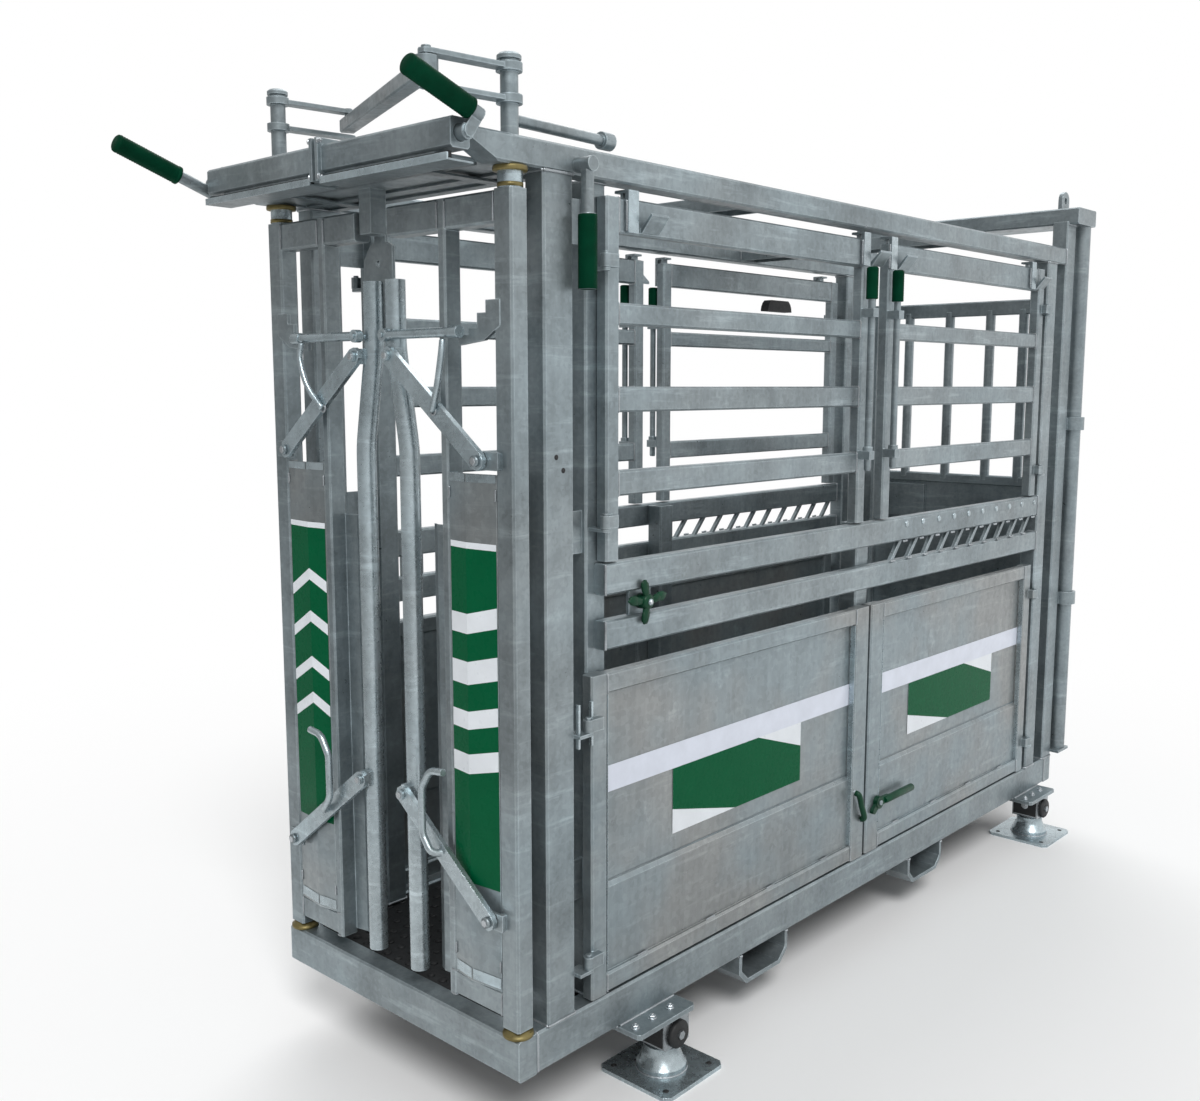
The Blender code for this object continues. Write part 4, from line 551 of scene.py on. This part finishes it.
for side, k in SIDES:
    for end, s0, s1 in DOOR_SHEETS:
        door_print_and_shade(f"lower_door_{end}_{side}", STRIPE, k, oblong((s0, s1), STRIPE_LEVELS), 0.0)
    for end, s0, s1 in DOOR_PANELS:
        body = f"lower_door_{end}_{side}"
        l0, l1 = PANEL_LEVELS
        door_print_and_shade(body, PRINT_WHITE, k, oblong((s0, s1), PANEL_LEVELS), 0.0003)
        tall, wide = l1 - l0, s1 - s0
        door_print_and_shade(body, PRINT_GREEN, k, [
            (s0, l0 + tall * 0.38), (s0 + wide * 0.46, l0), (s1, l0), (s1, l1 - tall * 0.40),
            (s0 + wide * 0.64, l1), (s0, l1)], 0.0006)
    for end, s0, s1 in DOOR_SHEETS:
        body = f"lower_door_{end}_{side}"
        # Dark line just above the fold: painted shadow of the step
        door_print_and_shade(body, ZINC_PAINTED_SHADE, k, oblong((s0, s1), (0.3785, 0.3835)), 0.0)
        # Bright strips at the two ends of each sheet: painted highlight
        for station in (s0 + 0.0003, s1 - 0.0015):
            box(body, ZINC_BRIGHT_AND_PAINTED_HIGHLIGHT, (k * 0.4370, k * 0.4535), (station, station + 0.0012),
                (0.157, 0.853))

# Headgate frames and folded guard sheets, with the inner stile beside the sheet


def chamfered(a, b, corner):
    """Outline of a square tube with cut corners."""
    (a0, a1), (b0, b1) = a, b
    return [(a0 + corner, b0), (a1 - corner, b0), (a1, b0 + corner), (a1, b1 - corner),
            (a1 - corner, b1), (a0 + corner, b1), (a0, b1 - corner), (a0, b0 + corner)]


def prism(body, look, k, outline, axis, low, high, stands_for):
    """Outline along u, s or l: its two numbers are the other two axes, in the order u, s, l."""
    rings = []
    for end in (low, high):
        for a, b in outline:
            u, s, l = {"u": (end, a, b), "s": (a, end, b), "l": (a, b, end)}[axis]
            rings.append(at(k * u, s, l))
    put(body, look, rings, rings_faces(2, len(outline)), False, stands_for)


def sheet_outline(line, thickness):
    """A folded sheet: a line and the same line moved back by the thickness."""
    shifted = []
    for i, here in enumerate(line):
        normals = []
        for a, b in ((line[max(i - 1, 0)], here), (here, line[min(i + 1, len(line) - 1)])):
            along = Vector((b[0] - a[0], b[1] - a[1]))
            if along.length > 0:
                along.normalize()
                normals.append(Vector((-along.y, along.x)))
        way = sum(normals, Vector((0.0, 0.0))).normalized()
        moved = Vector(here) + way * thickness / way.dot(normals[0])
        shifted.append((moved.x, moved.y))
    return list(line) + shifted[::-1]


def tube(side, k, u, s, l, along, corner=0.005):
    """Square tube or lug of a headgate frame, along u, s or l."""
    pair = {"u": (s, l), "s": (u, l), "l": (u, s)}[along]
    reach = {"u": u, "s": s, "l": l}[along]
    prism(f"headgate_{side}", ZINC, k, chamfered(*pair, corner), along, *reach, f"gate_frame_{side}")


SHEET = 0.003
INNER_LINE = ((0.120, 0.060), (0.142, 0.050), (0.176, 0.0545), (0.222, 0.045))
GUARD_LINE = ((0.2393, 0.030), (0.2393, 0.005), (0.305, -0.0045), (0.3967, 0.005),
              (0.3967, 0.030))
GUARD_LEVELS = (0.2003, 1.385)
TOP_RAIL_START = {"right": 0.035, "left": 0.088}
LINK_LUGS = ((0.365, 1.415), (0.383, 0.375))
RATCHET = ((0.286, 1.6635), (0.286, 1.6855), (0.318, 1.6855), (0.318, 1.7004), (0.3457, 1.7004),
           (0.3457, 1.7312), (0.3733, 1.7312), (0.3733, 1.7575), (0.417, 1.7575), (0.417, 1.7025),
           (0.367, 1.6725))

for side, k in SIDES:
    body, node = f"headgate_{side}", f"gate_frame_{side}"
    tube(side, k, (0.397, 0.453), (0.002, 0.052), (0.1183, 1.9847), "l")
    tube(side, k, (TOP_RAIL_START[side], 0.400), (0.004, 0.050), (1.915, 1.983), "u")
    tube(side, k, (0.222, 0.400), (0.004, 0.050), (0.140, 0.200), "u")
    tube(side, k, (0.214, 0.239), (0.003, 0.051), (0.138, 1.981), "l", 0.004)
    prism(body, ZINC, k, sheet_outline(INNER_LINE, SHEET), "l", 0.150, 1.255, node)
    prism(body, ZINC, k, RATCHET, "s", 0.0, 0.010, node)
    for u, level in LINK_LUGS:
        tube(side, k, (u - 0.020, 0.419), (-0.0120, -0.0055), (level - 0.02, level + 0.02), "s",
             0.002)
        tube(side, k, (0.404, 0.417), (-0.0075, 0.006), (level - 0.018, level + 0.018), "s", 0.001)
        turned(body, ZINC, at(k * u, -0.007, level), (0, -1, 0), [(0.008, 0.0), (0.008, 0.0235)],
               20, True, node)
        turned(body, ZINC, at(k * u, -0.0270, level), (0, -1, 0), [(0.0125, 0.0), (0.0125, 0.007)],
               20, True, node)
        for edge in (-0.018, 0.018):
            bead(body, at(k * 0.4185, -0.0045, level + edge), at(k * 0.4030, -0.0045, level + edge),
                 0.0026, 4)
    prism(body, ZINC_SHEET, k, sheet_outline(GUARD_LINE, SHEET), "l", *GUARD_LEVELS,
          f"gate_panel_{side}")

# Guard panels of the headgate, printed green with white bands on both facets

FACETS = (GUARD_LINE[1:3], GUARD_LINE[2:4])
FACET_SHARES = ((0.06, 1.0), (0.0, 0.97))
PRINT_LEVELS = (0.44, 1.225)
BANDS = {
    "right": [(1.024, 1.070), (0.907, 0.960), (0.803, 0.845), (0.699, 0.745)],
    "left": [(1.083, 1.112), (0.973, 1.002), (0.853, 0.882), (0.758, 0.787)],
}
# How far a band rises at the inner and the outer edge of its panel
BAND_RISE = {"right": (0.0, 0.022), "left": (-0.030, -0.050)}


def guard(side, k, look, facet, shares, first, second, lift):
    """Flat piece on one facet, used for print and for painted highlight: its low and high level at the
    first share of the width, then at the second."""
    (u0, s0), (u1, s1) = FACETS[facet]
    out = Vector((s1 - s0, -(u1 - u0), 0)).normalized()
    outline = []
    for share, level in ((shares[0], first[0]), (shares[1], second[0]), (shares[1], second[1]),
                         (shares[0], first[1])):
        u = u0 + (u1 - u0) * share + out.x * (0.0003 + lift)
        s = s0 + (s1 - s0) * share + out.y * (0.0003 + lift)
        outline.append(at(k * u, s, level))
    plate(f"headgate_{side}", look, outline, 0.0002, (k * out.x, out.y, 0))


def flush(side, k, look, facet, shares, levels, lift):
    """Flat piece with level edges, used for print and for painted highlight."""
    guard(side, k, look, facet, shares, levels, levels, lift)


for side, k in SIDES:
    for facet, shares in enumerate(FACET_SHARES):
        flush(side, k, PRINT_GREEN, facet, shares, PRINT_LEVELS, 0.0)
        flush(side, k, PRINT_WHITE, facet, shares, (1.218, 1.232), 0.0003)
    inner, outer = BAND_RISE[side]
    for low, high in BANDS[side]:
        guard(side, k, PRINT_WHITE, 0, FACET_SHARES[0], (low + inner, high + inner), (low, high),
              0.0003)
        guard(side, k, PRINT_WHITE, 1, FACET_SHARES[1], (low, high), (low + outer, high + outer),
              0.0003)
    # Bright bands at the bottom and top of each facet: painted highlight along the sheet's edges
    for facet in (0, 1):
        flush(side, k, ZINC_BRIGHT_AND_PAINTED_HIGHLIGHT, facet, (0.04, 0.98), (0.206, 0.232), 0.0006)
        flush(side, k, ZINC_BRIGHT_AND_PAINTED_HIGHLIGHT, facet, (0.04, 0.98), (1.366, 1.384), 0.0006)
    body = f"headgate_{side}"
    for u in (0.2415, 0.3945):
        for level in (0.26, 1.34):
            bead(body, at(k * u, 0.0030, level - 0.014), at(k * u, 0.0030, level + 0.014), 0.0026,
                 int(level * 100))
    for level in (0.1395, 0.2005):
        bead(body, at(k * 0.2225, 0.0035, level), at(k * 0.2385, 0.0035, level), 0.0026, 2)
    for u in (0.2135, 0.2395):
        bead(body, at(k * u, 0.0030, 1.918), at(k * u, 0.0030, 1.978), 0.0026, 3)
    bead(body, at(k * 0.3965, 0.0030, 1.918), at(k * 0.3965, 0.0030, 1.980), 0.0026, 4)
    bead(body, at(k * 0.3965, 0.0040, 0.142), at(k * 0.3965, 0.0040, 0.198), 0.0026, 4)

# Curved struts between the latch bars and the upper links, and the bolts of the links

STRUTS = {
    "right": ((0.268, -0.031, 1.676), (0.270, -0.038, 1.640), (0.256, -0.039, 1.575),
              (0.228, -0.031, 1.520)),
    "left": ((0.268, -0.031, 1.680), (0.266, -0.038, 1.640), (0.236, -0.039, 1.575),
             (0.189, -0.031, 1.521)),
}
for side, k in SIDES:
    path = STRUTS[side]
    sweep(f"upper_link_{side}", ZINC_BRIGHT_AND_PAINTED_HIGHLIGHT, [at(k * u, s, l) for u, s, l in path], 0.0075)
    ring_bead(f"upper_link_{side}", at(k * path[-1][0], -0.0275, path[-1][2]), (0, 1, 0), 0.008,
              0.0026, 24)
    for link_name, u, level in LINK_PIVOTS:
        body = f"{link_name}_{side}"
        bolt(body, at(k * u, -0.0295, level), (0, -1, 0), 0.009)
        bolt(body, at(k * (u + LINK_RUN), -0.0295, level - LINK_DROP), (0, -1, 0), 0.009)

# Dull yellow pivot discs below and above each gate

for side, k in SIDES:
    axis_u, axis_station = GATE_AXIS
    turned(ROOT, YELLOW, at(k * axis_u, axis_station, 2.0195), (0, 0, 1),
           [(0.0365, 0.0), (0.0372, 0.002), (0.0372, 0.008), (0.0362, 0.0105)], 32)
    turned(ROOT, YELLOW, at(k * axis_u, axis_station, 1.9870), (0, 0, 1),
           [(0.0278, 0.0), (0.0278, 0.009)], 28)
    pivot = at(k * axis_u, axis_station, 0.1003)
    turned(ROOT, YELLOW, pivot, (0, 0, 1),
           [(0.036, 0.0), (0.036, 0.007), (0.030, 0.009), (0.026, 0.0155)], 32)
    for degrees in (20, 110, 200, 290):
        angle = math.radians(degrees)
        spot = pivot + Vector((math.cos(angle), math.sin(angle), 0)) * 0.03
        bolt(ROOT, spot + Vector((0, 0, 0.0045)), (0, 0, 1), 0.004, YELLOW, washer=False)

# Front beam: bolted flange, lower ledge and the bars under the portal plate

for level in (2.031, 2.107):
    for station in (-0.1665, -0.1075):
        bolt(ROOT, at(0.0231, station, level), (1, 0, 0), 0.0055, thread=0.008)
        bolt(ROOT, at(-0.0091, station, level), (-1, 0, 0), 0.0055)
for u0, u1 in ((-0.453, -0.012), (0.026, 0.453)):
    box(ROOT, ZINC, (u0, u1), (-0.1660, -0.0990), (2.0150, 2.0190))
    # Bright lip along the ledge: painted highlight
    box(ROOT, ZINC_BRIGHT_AND_PAINTED_HIGHLIGHT, (u0, u1), (-0.1690, -0.1650), (2.0150, 2.0300))
    # Slot along the ledge drawn as a dark strip: painted shade
    box(ROOT, HOLE_SHADE, (u0 + 0.004, u1 - 0.004), (-0.1600, -0.1530), (2.0192, 2.0340))
# Bars under the portal plate, in the darker zinc: painted shade
for station in (-0.060, 0.075, 0.150):
    box(ROOT, ZINC_PAINTED_SHADE, (-0.385, 0.385), (station, station + 0.030), (2.0285, 2.0345))
for u in (-0.26, 0.26):
    box(ROOT, ZINC_PAINTED_SHADE, (u - 0.018, u + 0.018), (-0.098, 0.19), (2.0240, 2.0285))

# Ribbed grips


def ribbed(count, root, crest, start, pitch):
    """Profile points of a sleeve whose radius steps between root and crest."""
    return [(crest if i % 2 else root, start + i * pitch) for i in range(count)]


DOOR_EDGE = LOWER_DOORS[0][2]
HOOK_PATH = ((0.4585, DOOR_EDGE - 0.0605, 0.3245), (0.471, DOOR_EDGE - 0.058, 0.318),
             (0.471, DOOR_EDGE - 0.041, 0.279), (0.471, DOOR_EDGE - 0.024, 0.240),
             (0.4585, DOOR_EDGE - 0.0195, 0.2295))
ROD_SLEEVE = [(0.0140, 0.0)] + ribbed(26, 0.0171, 0.0175, 0.001, 0.0035) + [(0.0130, 0.0925)]
SIDE_SLEEVE = ([(0.0160, 0.0), (0.0208, 0.001)] + ribbed(44, 0.0211, 0.0217, 0.003, 0.0035)
               + [(0.0208, 0.1595), (0.0150, 0.1612)])
LEVER_SLEEVE = ([(0.0155, 0.0), (0.0222, 0.0), (0.0222, 0.006), (0.0206, 0.007)]
                + ribbed(48, 0.0206, 0.0218, 0.010, 0.0031)
                + [(0.0216, 0.1585), (0.0206, 0.1625), (0.0175, 0.1650)])
LEVER_RISE = math.radians(20.0)
LEVER_WAY = Vector((0, -math.cos(LEVER_RISE), math.sin(LEVER_RISE)))
# Side, station and level of each lever's root, and the bare length before its grip
LEVERS = (("right", 1, -0.1233, 2.111, 0.008), ("left", -1, -0.1353, 2.049, 0.095))

for side, k in SIDES:
    for end, station in DROP_RODS:
        turned(f"drop_rod_{end}_{side}", GRIP, at(k * GRIP_U, station, 1.8262), (0, 0, 1),
               ROD_SLEEVE, 24)
    sweep(f"lower_door_front_{side}", HAND, [at(k * u, s, l) for u, s, l in HOOK_PATH], 0.0092)
turned("side_lever", GRIP, at(0.483, 0.202, 1.7848), (0, 0, 1), SIDE_SLEEVE, 28)
for side, k, station, level, stub in LEVERS:
    start = at(k * GRIP_U, station, level) + LEVER_WAY * stub
    turned("operating_levers", GRIP, start, LEVER_WAY, LEVER_SLEEVE, 32, True,
           f"lever_grip_{side}")

# Four-winged hand nut


def lump(body, look, centre, axes, radii, seed, stands_for):
    """Rounded lobe with a crumpled surface."""
    dice = random.Random(seed)
    waves = [(dice.uniform(2, 5), dice.uniform(2, 5), dice.uniform(0, 6)) for _ in range(3)]
    rings, sides, points = 10, 18, []
    for r in range(rings + 1):
        polar = math.pi * (0.02 + 0.96 * r / rings)
        for i in range(sides):
            angle = math.tau * i / sides
            unit = (math.cos(polar), math.sin(polar) * math.cos(angle),
                    math.sin(polar) * math.sin(angle))
            swell = 1.0 + sum(0.055 * math.sin(a * unit[0] * 2 + b * unit[1] * 2 + c)
                              for a, b, c in waves)
            points.append(centre + sum((axis * (value * size * swell)
                                        for axis, value, size in zip(axes, unit, radii)), Vector()))
    put(body, look, points, rings_faces(rings + 1, sides), True, stands_for)


WING_DEGREES = (12, 100, 168, 262)
WING_LOBES = ((0.036, 0.0105), (0.050, 0.0125))
hub = at(0.4393, 0.432, 1.060)
turned("wing_handle", HAND, hub, (1, 0, 0),
       [(0.017, 0.0), (0.019, 0.002), (0.019, 0.028), (0.016, 0.032), (0.010, 0.0335)], 28, True,
       "wing_handle")
for index, degrees in enumerate(WING_DEGREES):
    angle = math.radians(degrees)
    way = Vector((0, math.cos(angle), 0.72 * math.sin(angle)))
    reach = way.length
    way.normalize()
    across = Vector((1, 0, 0)).cross(way)
    for share, width in WING_LOBES:
        lump("wing_handle", HAND, hub + Vector((0.0245, 0, 0)) + way * share * reach,
             (way, across, Vector((1, 0, 0))), (0.020, width, 0.0072), index * 7 + int(width * 1e4),
             "wing_handle")
bolt("wing_handle", hub + Vector((0.0330, 0, 0)), (1, 0, 0), 0.006, washer=False)

# Load cells and feet

for side, k in SIDES:
    for station in FOOT_STATIONS:
        start = at(k * 0.4935, station, -0.074)
        ring = [(0.034, 0.0), (0.037, 0.002), (0.037, 0.011), (0.033, 0.0150), (0.0135, 0.0150)]
        turned(ROOT, RUBBER, start, (k, 0, 0), ring, 32)
        box(ROOT, RUBBER, (k * 0.400, k * 0.490), (station - 0.0512, station - 0.0498),
            (-0.100, -0.020))
        bolt(ROOT, at(k * FOOT_U, station - 0.0512, -0.062), (0, -1, 0), 0.011)
        for du in (-0.088, 0.088):
            for ds in (-0.088, 0.088):
                # Holes in the foot plate, drawn as dark discs: painted shade
                turned(ROOT, HOLE_SHADE, at(k * FOOT_U + du, station + ds, -0.18), (0, 0, 1),
                       [(0.008, -0.001), (0.008, 0.0004)], 20)
        ring_bead(ROOT, at(k * FOOT_U, station, -0.1795), (0, 0, 1), 0.0665, 0.0030, 72)
        for ds in (-0.085, -0.020, 0.050):
            bolt(ROOT, at(k * 0.488, station - HANGER_SETBACK + ds, 0.001), (0, 0, 1), 0.009,
                 thread=0.006)

# Studs of the floor mat

STUD_ROWS, STUD_COLUMNS = 62, 17

for row in range(STUD_ROWS):
    for column in range(STUD_COLUMNS):
        station, u = 0.085 + row * 0.0455, -0.36 + column * 0.045
        turned(ROOT, RUBBER, at(u, station, 0.0915), (0, 0, 1), [(0.012, 0.0), (0.009, 0.0035)], 8)

# Holes painted as dark discs of shade, lugs and bright fittings of the posts and gates

for side, k in SIDES:
    for station, level in ((0.130, 1.42), (0.152, 1.39)):
        turned(ROOT, HOLE_SHADE, at(k * (HALF - 0.0006), station, level), (k, 0, 0),
               [(0.006, 0.0), (0.006, 0.0009)], 20)
    for station in (0.190, 0.2335):
        box(ROOT, ZINC_BRIGHT_AND_PAINTED_HIGHLIGHT, (k * 0.4553, k * 0.4640), (station, station + 0.006), (0.745, 0.850))
    for station in RACK_STATIONS:
        turned(ROOT, ZINC_BRIGHT_AND_PAINTED_HIGHLIGHT, at(k * 0.4545, station + 0.085, 1.142), (k, 0, 0),
               [(0.0110, 0.0), (0.0104, 0.0022), (0.0060, 0.0044)], 18)
        bead(ROOT, at(k * 0.4560, station + 0.062, 1.0880), at(k * 0.4560, station + 0.088, 1.0880),
             0.0034, int(station * 100))
        bead(ROOT, at(k * 0.4560, station - 0.014, 1.0320), at(k * 0.4560, station + 0.012, 1.0320),
             0.0034, int(station * 100) + 3)

# Bright outer and top faces of the hook straps on the upper gates: painted highlight

for side, k in SIDES:
    for end, stations in HOOKS:
        for station in stations:
            body = f"upper_gate_{end}_{side}"
            box(body, ZINC_BRIGHT_AND_PAINTED_HIGHLIGHT, (k * 0.4611, k * 0.4614), (station - 0.0175, station + 0.0175),
                (1.9225, 2.0175))
            box(body, ZINC_BRIGHT_AND_PAINTED_HIGHLIGHT, (k * 0.4200, k * 0.4575), (station - 0.0175, station + 0.0175),
                (2.0181, 2.0186))
            for seed, edge in enumerate((station - 0.0190, station + 0.0190)):
                bead(body, at(k * 0.4560, edge, 1.925), at(k * 0.4560, edge, 1.996), 0.0028,
                     int(station * 100) + seed)

# Black dome-shaped block on the far rear gate

rings = []
for u in (-0.419, -0.385):
    for i in range(13):
        angle = math.pi * i / 12
        rise = 0.042 * min(1.0, 1.5 * math.sin(angle))
        rings.append(at(u, 2.215 - 0.080 * math.cos(angle), 1.860 + rise))
put("upper_gate_rear_left", RUBBER, rings, rings_faces(2, 13), False)

# Put the gathered meshes into the scene

for (body, look_name, stands_for), store in sorted(pieces.items()):
    label = f"{look_name}.{body}" + (f".{stands_for}" if stands_for else "")
    mesh = bpy.data.meshes.new(label)
    mesh.from_pydata(store["v"], [], store["f"])
    mesh.polygons.foreach_set("use_smooth", store["s"])
    mesh.update()
    made = bpy.data.objects.new(label, mesh)
    bpy.context.scene.collection.objects.link(made)
    mesh.materials.append(store["look"])
    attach(made, body)
    if stands_for:
        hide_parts(stands_for)

# Floor that fades into a white surround away from the object

FADE = (2.3, 5.0)
SURROUND_WAY = (0.46, 0.46, 0.30)
SURROUND_TONES = (0.34, 1.15)
PLAIN_LIGHT = 0.42


def surround(add, link, vector):
    """Strength of the surround as metal sees it: brighter towards +X, +Y and above."""
    dot = add("ShaderNodeVectorMath")
    dot.operation = "DOT_PRODUCT"
    dot.inputs[1].default_value = SURROUND_WAY
    link(vector, dot.inputs[0])
    tone = add("ShaderNodeMapRange")
    for key, number in (("From Min", -0.65), ("From Max", 0.65), ("To Min", SURROUND_TONES[0]),
                        ("To Max", SURROUND_TONES[1])):
        tone.inputs[key].default_value = number
    link(dot.outputs["Value"], tone.inputs["Value"])
    return tone.outputs["Result"]


def operate(add, link, operation, a, b):
    made = add("ShaderNodeMath")
    made.operation = operation
    for socket, value in zip(made.inputs, (a, b)):
        if isinstance(value, (int, float)):
            socket.default_value = value
        else:
            link(value, socket)
    return made.outputs[0]


floor_mesh = bpy.data.meshes.new("floor")
floor_mesh.from_pydata([(-40, -40, 0), (40, -40, 0), (40, 40, 0), (-40, 40, 0)], [],
                       [(0, 1, 2, 3)])
floor = bpy.data.objects.new("floor", floor_mesh)
bpy.context.scene.collection.objects.link(floor)
pale = bpy.data.materials.new("pale_floor")
pale.use_nodes = True
add, link = pale.node_tree.nodes.new, pale.node_tree.links.new
shader = pale.node_tree.nodes["Principled BSDF"]
shader.inputs["Base Color"].default_value = (0.95, 0.95, 0.95, 1.0)
shader.inputs["Roughness"].default_value = 1.0
shader.inputs["Specular IOR Level"].default_value = 0.0
path = add("ShaderNodeLightPath")
metal = operate(add, link, "MAXIMUM", path.outputs["Is Glossy Ray"],
                path.outputs["Is Transmission Ray"])
where = add("ShaderNodeTexCoord").outputs["Object"]
length = add("ShaderNodeVectorMath")
length.operation = "LENGTH"
link(where, length.inputs[0])
fade = add("ShaderNodeMapRange")
fade.interpolation_type = "SMOOTHSTEP"
fade.inputs["From Min"].default_value, fade.inputs["From Max"].default_value = FADE
link(length.outputs["Value"], fade.inputs["Value"])
flat = add("ShaderNodeVectorMath")
flat.operation = "NORMALIZE"
link(where, flat.inputs[0])
glow = add("ShaderNodeEmission")
tone = surround(add, link, flat.outputs["Vector"])
seen = path.outputs["Is Camera Ray"]
link(operate(add, link, "MAXIMUM", operate(add, link, "MULTIPLY", metal, tone), seen),
     glow.inputs["Strength"])
join = add("ShaderNodeMixShader")
link(operate(add, link, "MULTIPLY", fade.outputs["Result"],
             operate(add, link, "MAXIMUM", metal, seen)), join.inputs[0])
link(shader.outputs[0], join.inputs[1])
link(glow.outputs[0], join.inputs[2])
link(join.outputs[0], pale.node_tree.nodes["Material Output"].inputs["Surface"])
floor_mesh.materials.append(pale)

# White world that lights at a plain level

world = bpy.data.worlds.new("studio")
bpy.context.scene.world = world
world.use_nodes = True
add, link = world.node_tree.nodes.new, world.node_tree.links.new
background = world.node_tree.nodes["Background"]
path = add("ShaderNodeLightPath")
metal = operate(add, link, "MAXIMUM", path.outputs["Is Glossy Ray"],
                path.outputs["Is Transmission Ray"])
tone = surround(add, link, add("ShaderNodeTexCoord").outputs["Generated"])
strength = operate(add, link, "MAXIMUM", operate(add, link, "MULTIPLY", metal, tone),
                   path.outputs["Is Camera Ray"])
link(operate(add, link, "MAXIMUM", strength, PLAIN_LIGHT), background.inputs["Strength"])
background.inputs["Color"].default_value = (1, 1, 1, 1)


def sun(name, place, energy, angle):
    data = bpy.data.lights.new(name, "SUN")
    data.energy, data.angle = energy, math.radians(angle)
    lamp = bpy.data.objects.new(name, data)
    bpy.context.scene.collection.objects.link(lamp)
    lamp.rotation_euler = (-Vector(place)).to_track_quat("-Z", "Y").to_euler()


sun("key", (4.0, -3.0, 5.5), 1.7, 25)
sun("back", (-3.0, 3.0, 5.0), 0.9, 40)

# Camera at the photograph's place

camera_data = bpy.data.cameras.new("camera")
camera = bpy.data.objects.new("camera", camera_data)
bpy.context.scene.collection.objects.link(camera)
bpy.context.scene.camera = camera
camera_data.sensor_width = 36.0
camera_data.lens = 36.54
yaw, pitch = math.radians(42.54), math.radians(7.68)
camera.location = (2.338, -1.780 + STATION_SHIFT, 1.765)
direction = Vector((-math.sin(yaw) * math.cos(pitch), math.cos(yaw) * math.cos(pitch),
                    -math.sin(pitch)))
camera.rotation_euler = direction.to_track_quat("-Z", "Y").to_euler()

bpy.context.scene.view_settings.view_transform = "Standard"
